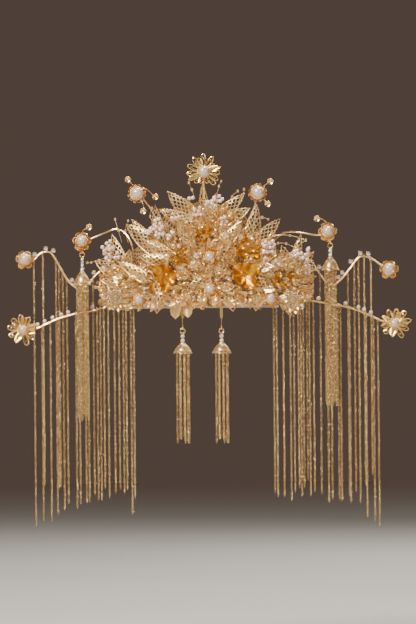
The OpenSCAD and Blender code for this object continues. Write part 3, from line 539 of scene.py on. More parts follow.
def wireLine(route, width, height, plane):
    line = []
    for across, up, out in smoothed(route, arms["cuts"]):
        x = across * width
        line.append(Vector((x, wireY(min(abs(x), fan["halfWidth"]), out, plane), up * height)))
    return line


armLines = {}
for kind in ("upper", "lower", "mid"):
    for hand, side in hands.items():
        name = kind + hand.title()
        armLines[name] = wireLine(routes[name], side * arms["reach"], *arms[kind].values())
for name in ("budLeft", "budRight", "top"):
    armLines[name] = wireLine(routes[name], fan["halfWidth"], fan["height"], arms["stemPlane"])


def armAt(line, x):  # the point of an arm at the distance x from the middle
    for a, b in zip(line, line[1:]):
        low, high = sorted((abs(a.x), abs(b.x)))
        if low <= abs(x) <= high and high > low:
            return a.lerp(b, (abs(x) - abs(a.x)) / (abs(b.x) - abs(a.x)))
    return line[0]


def steepness(line, x):  # how far the arm rises in a millimetre outwards
    return (armAt(line, abs(x) + 1).z - armAt(line, abs(x) - 1).z) / 2


def armEnd(line):  # where the flower at an arm's end sits
    return line[0] - Vector((0, arms["post"], 0))


# Chains: alternate links, hung from a jump ring round the arm
chain = {"length": 3.25, "width": 2.35, "wire": 0.6, "slack": 0.06, "segments": 7, "sides": 3}
chain["pitch"] = chain["length"] - 2 * chain["wire"] + chain["slack"]
curtains = {  # each chain's place along the arm, and how low it ends, as shares
    "depth": 226, "ringWire": 0.35, "sway": 0.35,
    "upperLeft": [
        (0.955, 0.967), (0.905, 0.79), (0.832, 0.923), (0.814, 0.8), (0.794, 0.913), (0.772, 0.876),
        (0.625, 0.83), (0.586, 0.869), (0.567, 0.815)],
    "upperRight": [
        (0.929, 0.757), (0.891, 0.804), (0.86, 0.889), (0.836, 0.835), (0.8, 0.85), (0.644, 0.848),
        (0.605, 0.825)],
    "lowerLeft": [
        (0.911, 0.95), (0.865, 0.95), (0.822, 0.804), (0.722, 0.889), (0.703, 0.879), (0.669, 0.872),
        (0.653, 0.867), (0.603, 0.862), (0.542, 0.842), (0.507, 0.838), (0.481, 0.811), (0.457, 0.838),
        (0.441, 0.811), (0.414, 0.927), (0.398, 0.858)],
    "lowerRight": [
        (0.964, 0.997), (0.939, 0.957), (0.897, 0.954), (0.806, 0.886), (0.756, 0.869), (0.742, 0.876),
        (0.703, 0.872), (0.683, 0.889), (0.582, 0.842), (0.568, 0.779), (0.547, 0.805), (0.533, 0.855),
        (0.519, 0.821), (0.494, 0.838), (0.474, 0.865), (0.434, 0.848), (0.397, 0.845), (0.381, 0.836)],
}


def oneLink():
    bm = bmesh.new()
    middle = (chain["width"] - chain["wire"]) / 2
    bmesh.ops.create_circle(bm, segments=chain["sides"], radius=chain["wire"] / 2)
    start = rotated(pi / chain["segments"], "Y") @ moved((middle, 0, 0))
    bmesh.ops.transform(bm, matrix=start, verts=bm.verts)
    bmesh.ops.spin(bm, geom=bm.verts[:] + bm.edges[:], cent=(0, 0, 0), axis=(0, 1, 0), angle=tau,
                   steps=chain["segments"], use_merge=True)
    for v in bm.verts:  # drawn out from a ring to a long link
        v.co.z += (chain["length"] - chain["width"]) / 2 * (1 if v.co.z > 0 else -1)
    return template(bm)


def linkPair():
    link = oneLink()
    pair = bmesh.new()
    stamp(pair, link, moved(rise(-chain["length"] / 2)))
    stamp(pair, link, moved(rise(-chain["length"] / 2 - chain["pitch"])) @ rotated(pi / 2))
    return template(pair)


pairOfLinks = linkPair()
strands = {}


def strandOf(length):  # chains of the same number of links share one mesh
    pairs = max(1, round((length - chain["length"]) / chain["pitch"] / 2))
    if pairs not in strands:
        strands[pairs] = modified(
            pairOfLinks, "ARRAY", count=pairs, use_relative_offset=False, use_constant_offset=True,
            constant_offset_displace=(0, 0, -2 * chain["pitch"]))
    return strands[pairs]


def hangStrand(bm, place, length, sway, chance):
    stamp(bm, strandOf(length), moved(place) @ rotated(chance.uniform(-sway, sway)))


def ringAround(line, x):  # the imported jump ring: wider where the wire is steep
    steep = abs(steepness(line, x))
    wire, ringWire = arms["wire"], curtains["ringWire"]
    room = wire * sqrt(1 + steep * steep) + (ringWire + clearance) * steep + clearance
    size = max(room + ringWire, 2 * wire + ringWire)
    return Vector((x, armAt(line, x).y, armAt(line, x).z + room - size + ringWire)), size


def hangCurtain(name, node, side):
    chance = random.Random(name)
    bm = bmesh.new()
    for across, low in curtains[name]:
        x = side * across * arms["reach"]
        middle, size = ringAround(armLines[name], x)
        pour(bm, ring(size, curtains["ringWire"], 14), moved(middle) @ rotated(pi / 2, "Y"))
        top = middle.z - size + curtains["ringWire"] + chain["wire"]
        hangStrand(bm, (x, middle.y, top), top + low * curtains["depth"], curtains["sway"], chance)
    keepPiece(name + "Curtain", bm, "chainGold", "chain_gold", node, crease=150)


for kind in ("upper", "lower"):
    for hand, side in hands.items():
        hangCurtain(kind + hand.title(), f"{kind}_curtain_{hand}", side)
print("curtains hung")

# Tassels: a pierced bell cap with scalloped rim over a bundle of chains
tassels = {  # the bundle's length and the chains in its outer and inner ring
    "Side": {"capR": 7.4, "capH": 10, "bundle": 142, "chains": (13, 5)},
    "Front": {"capR": 8, "capH": 7.5, "bundle": 94, "chains": (9, 4)},
}
tasselLook = {
    "across": 20, "along": 5, "opened": 0.72, "sheet": 0.35,
    "profile": [(0.3, 0), (0.36, 0.12), (0.62, 0.34), (0.8, 0.55), (0.93, 0.78), (1.0, 1.0)],
    "collarHole": 0.65, "collarShare": 0.32, "lip": 0.42, "bead": 0.42, "beads": [(0.34, 14), (0.78, 22)],
    "loops": 11, "loopWire": 0.34, "loopDrop": 2.6, "loopWidth": 0.8, "lean": 0.5, "inside": 1.5,
    "outerRoom": 1.85, "innerShare": 0.36, "sway": 0.4}


def profileAt(rows, t):
    for (a, s), (b, e) in zip(rows, rows[1:]):
        if t <= e:
            return a + (b - a) * (t - s) / (e - s)
    return rows[-1][0]


def hangTassel(name, node, top, size):
    look = tasselLook
    chance = random.Random(name)
    capR, capH = size["capR"], size["capH"]
    cap, bundle = bmesh.new(), bmesh.new()

    def bell(u, t):
        return top + polar(capR * profileAt(look["profile"], t), pi * u + pi / 2, -capH * t)
    addSheet(cap, bell, look["across"], look["along"], look["sheet"], look["opened"])
    hole, neck = look["collarHole"], look["collarShare"] * capR
    collar = [(neck + 0.3, 0.2), (neck + 0.6, -0.5), (neck + 0.2, -1.1)]
    pour(cap, turned([(hole, 0.2), *collar, (hole, -1.1), (hole, 0.2)], 16), moved(top))
    pour(cap, ring(capR, look["lip"], 28), moved(top - rise(capH)))
    for share, count in look["beads"]:
        radius = capR * profileAt(look["profile"], share)
        beadRing(cap, moved(top - rise(capH * share)), radius, look["bead"], count)
    wires = []
    half = pi * capR / look["loops"] * look["loopWidth"]
    for a in angles(look["loops"]):  # petals of wire under the lip, turned a little outward
        out, side = polar(1, a), polar(1, a + pi / 2)
        base = top + out * capR - rise(capH)
        drop = (out * look["lean"] - rise(1)) * look["loopDrop"] / 2
        petal = [base + side * half * sin(k) + drop * (1 - cos(k)) for k in angles(10)]
        wires.append((petal, look["loopWire"], True))
    addWires(cap, wires, 4)
    rings = ((0, capR - look["outerRoom"], 0.025, 3, 4), (0.5, look["innerShare"] * capR, 0.03, 2, 3))
    for count, (start, radius, shorter, step, cycle) in zip(size["chains"], rings):
        for i, a in enumerate(angles(count, start)):  # chains of uneven length
            length = size["bundle"] * (1 - shorter * (i * step % cycle)) + look["inside"]
            hangStrand(bundle, top + polar(radius, a, look["inside"] - capH), length, look["sway"], chance)
    keepPiece(name, bundle, "chainGold", "chain_gold", node, crease=150)
    keepPiece(name.replace("Tassel", "Cap"), cap, "champagne", "bright_gold")


# Eyes, rings and beads over the tassels, as packed
hang = {"eye": 1.4, "eyeWire": 0.45, "ring": 2.4, "eyeDrop": 11.5, "shiftRight": 2.6, "hookDrop": 20,
        "tab": 2.8, "tabThick": 0.8}
frontHooks = {"left": -0.205, "right": 0.148}
sideEyes = {"left": armLines["midLeft"][0] - rise(hang["eyeDrop"]),
            "right": armLines["midRight"][0] + Vector((hang["shiftRight"], 0, -hang["eyeDrop"]))}
beads = {"leftSide": [3.06, 3.06, 3.06, 4.32], "rightSide": [4.32, 4.32], "leftFront": [4.3, 4.3],
         "rightFront": [4.3, 4.3]}


def capTop(eye, sizes):
    ringDrop = hang["eye"] - 2 * hang["eyeWire"] - clearance / 2 + hang["ring"]
    threaded = sum(size + clearance / 2 for size in sizes)
    return eye - rise(ringDrop + hang["ring"] + hang["eyeWire"] + 1.5 * clearance + threaded)


def frontEye(share):
    x = share * fan["halfWidth"]
    return Vector((x, backingFrontY(x, hang["tab"] / 2) - hang["tabThick"] / 2, -hang["hookDrop"]))


for hand in hands:
    for kind, eye in (("Side", sideEyes[hand]), ("Front", frontEye(frontHooks[hand]))):
        top = capTop(eye, beads[hand + kind])
        hangTassel(f"{hand}{kind}Tassel", f"{kind.lower()}_tassel_{hand}", top, tassels[kind])
print("tassels hung")


# Petals, cups and loops, drawn round local Z
def petalPoint(petal, angle, matrix, phase):
    length = petal["reach"] - petal["inner"]
    spun = matrix @ rotated(angle)

    def pointAt(u, t):
        wide = petal["breadth"] * (0.34 + 0.66 * sin(pi * (0.08 + 0.72 * t)))
        shorter = petal["round"] * u * u + petal["notch"] * (1 - abs(u)) ** 2 * t * t
        lift = petal["base"] + petal["lift"] * t * t + petal["cup"] * u * u * t
        lift += petal["ruffle"] * sin(2.5 * pi * u + phase) * t * t
        return spun @ Vector((petal["inner"] + length * t * (1 - shorter), u * wide, lift))
    return pointAt


def addPetal(bm, petal, angle, matrix, phase):
    pointAt = petalPoint(petal, angle, matrix, phase)
    across, along = petal["across"], petal["along"]
    addSheet(bm, pointAt, across, along, petal["thick"], petal.get("opened", 0))
    if not petal["rim"]:
        return []
    tip = [pointAt(-1 + 2 * i / across, 1) for i in range(1, across)]
    return [(edgeOf(pointAt, -1, along) + tip + edgeOf(pointAt, 1, along)[::-1], petal["rim"])]


seatLook = {"room": 0.2, "wall": 0.75, "up": 1.0, "depth": 0.42, "bead": 0.42, "beadPitch": 1.0,
            "claw": 0.28, "clawRoom": 0.45, "clawAngles": (1.7, 1.45, 1.2, 0.95)}


def pearlSeat(bm, matrix, d, claws):  # a cup with a beaded edge and fine claws
    look = seatLook
    inner, outer, middle = d / 2 + look["room"], d / 2 + look["wall"], look["up"] + d / 2
    rim = pi - acos((0.5 - look["depth"]) * d / inner)
    bowl = [rim + (pi - rim) * i / 6 for i in range(7)]
    inside = [(inner * sin(a), middle + inner * cos(a)) for a in bowl]
    outside = [(outer * sin(a), middle + outer * cos(a)) for a in bowl[::-1]]
    pour(bm, turned(inside + outside + [inside[0]], 20), matrix)
    rimR = outer * sin(rim)
    edge = matrix @ moved(rise(middle + outer * cos(rim)))
    beadRing(bm, edge, rimR, look["bead"], round(tau * rimR / look["beadPitch"]))
    claw = d / 2 + look["clawRoom"]
    bent = [(claw * sin(b), middle + claw * cos(b)) for b in look["clawAngles"]]
    return [([matrix @ polar(r, a, z) for r, z in bent], look["claw"]) for a in angles(claws, 0.5)]


def loopWire(matrix, angle, inner, reach, half, lift, points=16):  # a petal bent from wire
    spun = matrix @ rotated(angle)
    path = []
    for k in angles(points):
        t = (1 - cos(k)) / 2
        wide = half * sin(k) * (0.72 + 0.28 * t)
        path.append(spun @ Vector((inner + (reach - inner) * t, wide, lift * t * t)))
    return path


cupPetal = {"inner": 2.4, "reach": 9.2, "round": 0.13, "notch": 0.06, "lift": 2.8, "cup": 1.1,
            "ruffle": 0.15, "base": 0.3, "across": 6, "along": 5, "thick": 0.35, "rim": 0.36}
cups = {  # number of petals, their breadth, and how much longer they are at the foot
    "arm": (6, 3.3, 1.1), "mid": (6, 3.2, 0.9), "bud": (12, 1.7, 0.4)}


def cupFlower(name, place, d, count, breadth, longer):
    bm = bmesh.new()
    matrix = facing(place)
    wires = pearlSeat(bm, matrix, d, 5)
    for i, a in enumerate(angles(count, 0.5)):
        angle = a - pi / 2
        reach = cupPetal["reach"] - longer * sin(angle) + 0.4 * (i % 2)
        wires += addPetal(bm, dict(cupPetal, breadth=breadth, reach=reach), angle, matrix, i)
    addWires(bm, wires, 4)
    addPost(bm, matrix, arms["post"], arms["postFoot"], 0.4)
    keepPiece(name + "Cup", bm, "cupGold", "bright_gold")


def twist(line, start, end):  # fine wire wound round part of an arm
    path = []
    lengths = [0]
    for a, b in zip(line, line[1:]):
        lengths.append(lengths[-1] + (b - a).length)
    steps = ceil((end - start) / arms["wrapPitch"] * arms["wrapSteps"])
    for i in range(steps + 1):
        s = start + (end - start) * i / steps
        k = max(j for j in range(len(lengths) - 1) if lengths[j] <= s + 1e-6)
        run = (line[k + 1] - line[k]).normalized()
        side = run.cross(Vector((0, 1, 0))).normalized()
        turn = tau * s / arms["wrapPitch"]
        out = side * cos(turn) + run.cross(side) * sin(turn)
        path.append(line[k] + run * (s - lengths[k]) + out * (arms["wire"] + arms["wrap"] * 0.8))
    return path, arms["wrap"]


def armWire(bm, line, wraps):  # the wraps are from and to, along the wire
    addWires(bm, [(line, arms["wire"])] + [twist(line, a, b) for a, b in wraps], 8)


upperArms = {
    "pearl": 10.7, "wraps": [(1.5, 6), (36, 40), (74, 80)], "stem": 0.4, "claw": 0.24,
    "left": (0.935, 0.885, 0.858, 0.757, 0.73, 0.606), "right": (0.91, 0.876, 0.833, 0.785, 0.762, 0.624),
    "clawShape": [(1.7, 0), (2.45, 0.5), (2.55, 1.3), (2.1, 1.9)]}
crystalLook = {
    "d": 4.6, "sides": 8, "up": 2.6, "seatBack": 0.9, "collet": 1.75, "colletWire": 0.3, "foot": (1.7, 0.4),
    "cut": [(0, -0.375), (0.15, -0.375), (0.36, -0.12), (0.5, 0.06), (0.5, 0.09), (0.4, 0.23), (0.2, 0.34),
            (0, 0.375)]}
brilliant = template(turned([(r * crystalLook["d"], z * crystalLook["d"]) for r, z in crystalLook["cut"]],
                            crystalLook["sides"]))
cutStones = bmesh.new()


def setCrystal(bm, line, x, side):  # a stone over the wire, in a collet with four claws and a stem
    look = crystalLook
    up = Vector((-side * steepness(line, x), 0, 1)).normalized()
    middle = armAt(line, x) + (arms["wire"] + look["up"]) * up
    back = Vector((0, look["seatBack"], 0))
    stamp(cutStones, brilliant, facing(middle))
    seat = facing(middle + back)
    pour(bm, ring(look["collet"], look["colletWire"], 16), seat)
    wires = []
    for a in angles(4, 0.5):
        wires.append(([seat @ polar(r, a, z) for r, z in upperArms["clawShape"]], upperArms["claw"]))
    below, above = look["foot"]
    return wires + [([middle - below * up + back, armAt(line, x) + above * up], upperArms["stem"])]


def makeUpperArm(hand, side):
    name = hand + "UpperArm"
    line = armLines["upper" + hand.title()]
    bm = bmesh.new()
    armWire(bm, line, upperArms["wraps"])
    cupFlower(name, armEnd(line), upperArms["pearl"], *cups["arm"])
    wires = []
    for share in upperArms[hand]:
        wires += setCrystal(bm, line, side * share * arms["reach"], side)
    addWires(bm, wires, 6)
    keepPiece(name, bm, "armGold", "bright_gold", "upper_arm_" + hand)


for hand, side in hands.items():
    makeUpperArm(hand, side)
keepPiece("armCrystals", cutStones, "crystal", "crystal", "arm_crystals", crease=10)

# Lower arms and top: flowers of wire loops and a few filled petals, each as its angle and reach
solidPetal = {"inner": 3.6, "breadth": 2.7, "round": 0.1, "notch": -0.12, "lift": 1.6, "cup": 0.8,
              "ruffle": 0.1, "base": 0.5, "across": 6, "along": 8, "thick": 0.4, "rim": 0.3}
loopLook = {"wire": 0.5, "half": 2.7, "vein": 0.26, "veinShare": 0.72, "bead": 0.5, "beadPitch": 1.25}
loopFlowers = {
    "left": {
        "loops": [(100, 15), (62, 14), (135, 15.5), (170, 15.5), (205, 15), (320, 14), (285, 16), (82, 12),
                  (152, 12)],
        "filled": [(20, 12.5), (240, 14), (345, 12)], "seeds": (0.93, 0.888, 0.845, 0.8, 0.76, 0.625)},
    "right": {
        "loops": [(80, 14), (45, 16.5), (115, 14.5), (10, 17), (335, 15.5), (300, 16.5), (225, 14),
                  (62, 12), (-5, 13)],
        "filled": [(150, 13), (190, 12.5), (262, 13)], "seeds": (0.918, 0.88, 0.85, 0.78, 0.7225, 0.63)},
    "top": {
        "loops": [(92, 17.5), (58, 17), (35, 12.5), (-5, 16), (-30, 16.5), (-50, 17), (-72, 12), (-106, 12),
                  (-128, 14), (188, 16.5), (158, 17), (127, 17), (112, 14)],
        "filled": [(14, 16), (208, 16)]},
}
lowerArm = {"pearl": 9, "inner": 4.2, "wraps": [(1.5, 6), (100, 106)], "bead": 1.05, "beadApart": 2.5}
topStem = {"pearl": 11, "inner": 5.2, "wraps": [(1.5, 10)]}


def loopFlower(bm, line, flower, size):
    armWire(bm, line, size["wraps"])
    matrix = facing(armEnd(line))
    inner, look = size["inner"], loopLook
    wires = pearlSeat(bm, matrix, size["pearl"], 6)
    for i, (angle, reach) in enumerate(flower["loops"]):
        lift = 1.2 + 0.8 * sin(2.1 * i)
        loop = loopWire(matrix, radians(angle), inner, reach, look["half"], lift)
        veinReach = inner + (reach - inner) * look["veinShare"]
        vein = loopWire(matrix, radians(angle), inner, veinReach, look["half"] / 2, lift, 12)
        wires += [(loop, look["wire"], True), (vein, look["vein"], True)]
    for i, (angle, reach) in enumerate(flower["filled"]):
        wires += addPetal(bm, dict(solidPetal, reach=reach), radians(angle), matrix, i)
    addWires(bm, wires, 6)
    addPost(bm, matrix, inner + 0.8, 0, 0.7, 20)
    count = round(tau * inner / look["beadPitch"])
    beadRing(bm, matrix @ moved(rise(0.9)), inner + 0.5, look["bead"], count)
    addPost(bm, matrix, arms["post"], arms["postFoot"], 0.2)


for hand, side in hands.items():
    line = armLines["lower" + hand.title()]
    bm = bmesh.new()
    loopFlower(bm, line, loopFlowers[hand], lowerArm)
    for share in loopFlowers[hand]["seeds"]:  # two granules beside each pearl's foot
        for shift in (-lowerArm["beadApart"], lowerArm["beadApart"]):
            ballAt(bm, armAt(line, share * arms["reach"] + shift), lowerArm["bead"])
    keepPiece(hand + "LowerArm", bm, "brightGold", "bright_gold", "lower_arm_" + hand)

# Middle arms and bud stems: cup flowers, sprigs and the tassels' eyes
sprigs = {  # each twig ends in a small flower
    "midLeft": [[(-122.8, -48, 77), (-119.5, -50, 80.5), (-115.5, -51, 82)]],
    "midRight": [[(123.5, -48, 84), (118.5, -50, 88), (113, -51, 88.5)]],
    "budLeft": [[(-67.2, -80, 120), (-69.5, -82, 122), (-75.5, -83, 128.5)],
                [(-66, -80, 118), (-58, -82, 119.5), (-48.2, -83, 111)],
                [(-63, -80, 108), (-60.5, -81, 103), (-60.5, -82, 97)]],
    "budRight": [[(56, -80, 117), (60, -82, 121.3), (66.2, -83, 125.3)],
                 [(54, -80, 112), (60, -82, 107), (63.4, -83, 103)]],
}
stemLook = {
    "wraps": [(1.5, 9)], "twig": 0.4, "flower": 1.05, "eyeStem": 0.7, "eyeFlower": 1.2,
    "flowerAt": (-1.5, -1.2, 2.5), "ball": 1.2, "ballStem": 0.36, "pearls": {"mid": 10.2, "bud": 12}}
tinyPetal = {"inner": 0.6, "reach": 3.4, "breadth": 1.5, "round": 0.15, "notch": 0.1, "lift": 0.8,
             "cup": 0.3, "ruffle": 0, "base": 0, "across": 3, "along": 3, "thick": 0.3, "rim": 0}


def tinyFlower():
    bm = bmesh.new()
    for i, a in enumerate(angles(5)):
        addPetal(bm, tinyPetal, a, Matrix.Identity(4), i)
    ballAt(bm, rise(0.7), 0.9, fineGranule)
    return template(bm)


floret = tinyFlower()


def addEye(bm, line, eye, d):  # the eye that the tassel hangs from, and a gold ball over the pearl
    look = stemLook
    start, drop = line[0], eye + rise(hang["eye"])
    stamp(bm, floret, facing(drop + Vector(look["flowerAt"])) @ scaled(look["eyeFlower"]))
    overPearl = [(0, d / 2 + 1.5, 1 + d / 2), (0, d / 2 + 1, d / 2 - 1), (0, 0.45 * d, 1.2)]
    tip, *foot = [facing(armEnd(line)) @ Vector(p) for p in overPearl]
    ballAt(bm, tip, look["ball"])
    return [
        ([start - rise(1), start + Vector(((drop.x - start.x) * 0.8, 0, -5)), drop], look["eyeStem"]),
        ([eye + hang["eye"] * Vector((0, cos(k), sin(k))) for k in angles(16)], hang["eyeWire"], True),
        ([tip, *foot], look["ballStem"])]


def makeStem(kind, hand, name, node):
    line, d = armLines[kind + hand.title()], stemLook["pearls"][kind]
    bm = bmesh.new()
    armWire(bm, line, stemLook["wraps"])
    cupFlower(name, armEnd(line), d, *cups[kind])
    wires = []
    for points in sprigs[kind + hand.title()]:
        wires.append((smoothed(points, 4), stemLook["twig"]))
        stamp(bm, floret, facing(points[-1]) @ scaled(stemLook["flower"]))
    if kind == "mid":
        wires += addEye(bm, line, sideEyes[hand], d)
    addWires(bm, wires, 6)
    keepPiece(name, bm, "armGold", "bright_gold", node)


for kind, name, node in (("mid", "MidArm", "mid_arm_"), ("bud", "BudStem", "bud_stem_")):
    for hand in hands:
        makeStem(kind, hand, hand + name, node + hand)
bm = bmesh.new()
loopFlower(bm, armLines["top"], loopFlowers["top"], topStem)
keepPiece("topFlower", bm, "brightGold", "bright_gold", "top_flower")
print("arms and stems made")


# Leaves of gilt net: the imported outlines, opened into diamonds, with rims and a rib of wire
leafLook = {
    "pitch": 4.0, "stretch": 1.6, "opened": 0.79, "thick": 0.45, "weld": 0.1, "sliver": 0.04,
    "narrowest": 0.05,
    "rim": 0.42, "rib": 0.3, "ribbed": 0.4, "vein": 0.2, "veinStep": 3.3, "veinReach": 0.86,
    "bow": 3.1, "bowSwell": 1.2, "bowWire": 0.3, "fromRoot": 3, "stripUp": 0.13, "lift": 0.5,
    "bulge": (1.2, 2.6), "curl": (1.5, 4.5)}
sprays = {  # each leaf: its tip on the fan, its breadth as a share of its length, and its foot on the hem
    "crest": {"node": "crest_spray", "layer": 1, "root": (0.01, 0.62), "leaves": [
        ((-0.33, 0.94), 0.36), ((-0.01, 1.0), 0.24), ((0.12, 0.93), 0.24), ((0.37, 0.92), 0.32),
        ((-0.17, 0.88), 0.26), ((0.23, 0.86), 0.28), ((-0.41, 0.8), 0.34), ((0.42, 0.8), 0.36)]},
    "leftFan": {"node": "left_spray", "layer": 2, "root": (-0.39, 0.44), "leaves": [
        ((-0.445, 0.83), 0.3), ((-0.71, 0.68), 0.42), ((-0.66, 0.72), 0.24), ((-0.34, 0.7), 0.36)]},
    "rightFan": {"node": "right_spray", "layer": 2, "root": (0.41, 0.45), "leaves": [
        ((0.48, 0.83), 0.36), ((0.69, 0.715), 0.36), ((0.64, 0.55), 0.44), ((0.3, 0.68), 0.36)]},
    "leftWing": {"node": "left_wing", "layer": 3, "root": (-0.73, 0.24), "leaves": [
        ((-1.0, 0.395), 0.48), ((-0.84, 0.6), 0.36), ((-0.68, 0.48), 0.4)]},
    "rightWing": {"node": "right_wing", "layer": 3, "root": (0.8, 0.27), "leaves": [
        ((0.88, 0.59), 0.26), ((1.0, 0.45), 0.4), ((1.02, 0.31), 0.28), ((0.7, 0.5), 0.4)]},
    "hem": {"node": "hem_spray", "layer": 3, "solid": (1, 2, 3, 4), "leaves": [
        ((-0.44, -0.04), 0.5, -0.43), ((-0.27, -0.085), 0.42, -0.26), ((-0.155, -0.077), 0.4, -0.165),
        ((-0.03, -0.01), 0.5, -0.03), ((0.1, 0.0), 0.6, 0.11), ((0.255, -0.03), 0.72, 0.235),
        ((0.41, -0.01), 0.55, 0.395), ((0.5, -0.02), 0.5, 0.48), ((0.62, 0.2), 0.8, 0.47)]},
    "heart": {"node": "heart_spray", "layer": 3, "root": (0.04, 0.41), "leaves": [
        ((0.33, 0.53), 0.46), ((0.2, 0.61), 0.46), ((-0.03, 0.66), 0.44), ((-0.22, 0.6), 0.44),
        ((-0.31, 0.44), 0.42), ((-0.17, 0.27), 0.48), ((0.24, 0.27), 0.48)]},
}


def leafSwell(t):
    return max(1 - t, 0) * (0.8 + 1.75 * t)


def broadSwell(t):  # the hem's solid leaves are ovals
    return max(1 - t, 0) ** 0.6 * (0.35 + 1.9 * t)


def leafPoint(tip, foot, breadth, radius, bulge, curl, swellAt):
    along = tip - foot
    side = Vector((-along.y, along.x)) * breadth / 2

    def pointAt(u, t):
        p = foot + along * t + side * u * swellAt(t)
        forward = bulge * (1 - u * u) * sin(pi * t) ** 0.8 + curl * t * t * t if 0 < t < 1 else curl * t
        return onWall(p.x, p.y, radius + forward)
    return pointAt


def scallops(pointAt, u, length, width, swellAt):  # small bows of wire along a leaf's edge
    count = round(length / leafLook["bow"])
    path = []
    for i in range(1, round(3.7 * count)):
        t = i / (4 * count)
        bow = leafLook["bowSwell"] * sin(pi * count * t) ** 2
        path.append(pointAt(u * (1 + bow / (width / 2 * swellAt(t) + 0.8)), t))
    return path


def addNet(bm, pointAt, half, length):  # even holes, cut by the rim
    look = leafLook
    pitch = look["pitch"]
    across, along = 2 * ceil(half / pitch), max(3, round(length / pitch / look["stretch"]))
    net = bmesh.new()
    bmesh.ops.create_grid(net, x_segments=across, y_segments=along, size=1)
    pierce(net, look["opened"])

    def shareOf(v):  # how far out from the rib, in half breadths
        return v.co.x * across / 2 * pitch / max(half * leafSwell((v.co.y + 1) / 2), look["narrowest"])
    beyond = [f for f in net.faces if min(abs(shareOf(v)) for v in f.verts) >= 1]
    bmesh.ops.delete(net, geom=beyond, context="FACES")
    for v in net.verts:
        v.co = pointAt(max(-1, min(1, shareOf(v))), (v.co.y + 1) / 2)
    bmesh.ops.remove_doubles(net, verts=net.verts, dist=look["weld"])
    slivers = [f for f in net.faces if f.calc_area() < look["sliver"]]
    bmesh.ops.delete(net, geom=slivers, context="FACES")
    bmesh.ops.recalc_face_normals(net, faces=net.faces)
    mesh = modified(template(net), "SOLIDIFY", thickness=look["thick"], offset=0)
    bm.from_mesh(mesh)
    bpy.data.meshes.remove(mesh)


def addLeaf(bm, wires, foot, tip, breadth, radius, bends, chance, solid=False):
    look = leafLook
    length = (tip - foot).length
    swellAt = broadSwell if solid else leafSwell
    bulge, curl = chance.uniform(*bends["bulge"]), chance.uniform(*bends["curl"])
    pointAt = leafPoint(tip, foot, breadth, radius, bulge, curl, swellAt)
    if solid:
        along = max(5, round(length / look["veinStep"]))
        addSheet(bm, pointAt, 6, along, look["thick"])
        for i in range(1, along):
            t = i / along
            for u in (-look["veinReach"], look["veinReach"]):
                vein = [pointAt(0, t * 0.92), pointAt(u / 2, t * 0.96), pointAt(u, min(t + 0.09, 0.97))]
                wires.append((vein, look["vein"]))
    else:
        addNet(bm, pointAt, length * breadth / 2, length)
    steps = max(8, round(length / 3))
    wires.append((rimOf(pointAt, steps), look["rim"]))
    if solid or chance.random() < look["ribbed"]:
        wires.append((edgeOf(pointAt, 0, steps), look["rib"]))
    for u in (-1, 1):
        bows = scallops(pointAt, u, length, length * breadth, swellAt)
        wires.append((bows, look["bowWire"]))
    return pointAt


def makeSpray(name, spray):
    look = leafLook
    chance = random.Random(name)
    radius = fan["bend"] + spray["layer"] * fan["layerStep"] + look["lift"]
    bm, wires = bmesh.new(), []
    for i, (tipShare, breadth, *foot) in enumerate(spray["leaves"]):
        tip = onFan(tipShare)
        if foot:
            base = onFan((foot[0], look["stripUp"]))
        else:
            root = onFan(spray["root"])
            base = root + (tip - root).normalized() * look["fromRoot"]
        addLeaf(bm, wires, base, tip, breadth, radius, look, chance, i in spray.get("solid", ()))
    addWires(bm, wires, 6)
    keepPiece(name + "Leaves", bm, "leafGold", "leaf_gold", spray["node"])


for name, spray in sprays.items():
    makeSpray(name, spray)
print("leaves made")

# Flowers on the fan: netted petals round a beaded cup, with a burst of fine wires behind it
seats = {
    "crest": (-0.01, 0.64), "centre": (0.045, 0.41), "lowCentre": (0.045, 0.155), "lowLeft": (-0.6, 0.074),
    "lowRight": (0.595, 0.073), "goldLeft": (-0.335, 0.26), "goldRight": (0.345, 0.27),
    "rosetteLeft": (-0.81, 0.09), "rosetteRight": (0.8, 0.055)}
fanPetal = {"round": 0.3, "notch": -0.15, "lift": 1.5, "cup": 0.7, "ruffle": 0.15, "base": 0.3,
            "across": 4, "along": 4, "thick": 0.3, "rim": 0.24, "opened": 0.5}
fanPost = 1.5
pearlLook = {"petalFrom": 0.34, "petalShare": 0.36, "burstFrom": 0.3, "burstReach": 1.12, "burstLift": 2.2}


def flowerPlace(seat, reach):
    x, z = onFan(seats[seat])
    return Vector((x, wallY(fan["frontRadius"], max(abs(x) - reach, 0)), z))


def postBehind(bm, place):  # back to the plane in front of the backing
    addPost(bm, facing(place), fanPost, place.y - backingFrontY(place.x, fanPost), 0.5)


def burst(matrix, bm, count, inner, reach, lift, chance, wire=0.2):  # wires with granule ends
    wires = []
    for i in range(count):
        a = tau * (i + chance.uniform(-0.3, 0.3)) / count
        out = reach * chance.uniform(0.78, 1.05)
        up = lift * chance.uniform(0.4, 1.3)
        path = (polar(inner, a, 0.4), polar(0.6 * out, a + 0.1, up * 0.4), polar(out, a, up))
        wires.append(([matrix @ p for p in path], wire))
        ballAt(bm, wires[-1][0][-1], chance.uniform(0.42, 0.62), fineGranule)
    return wires


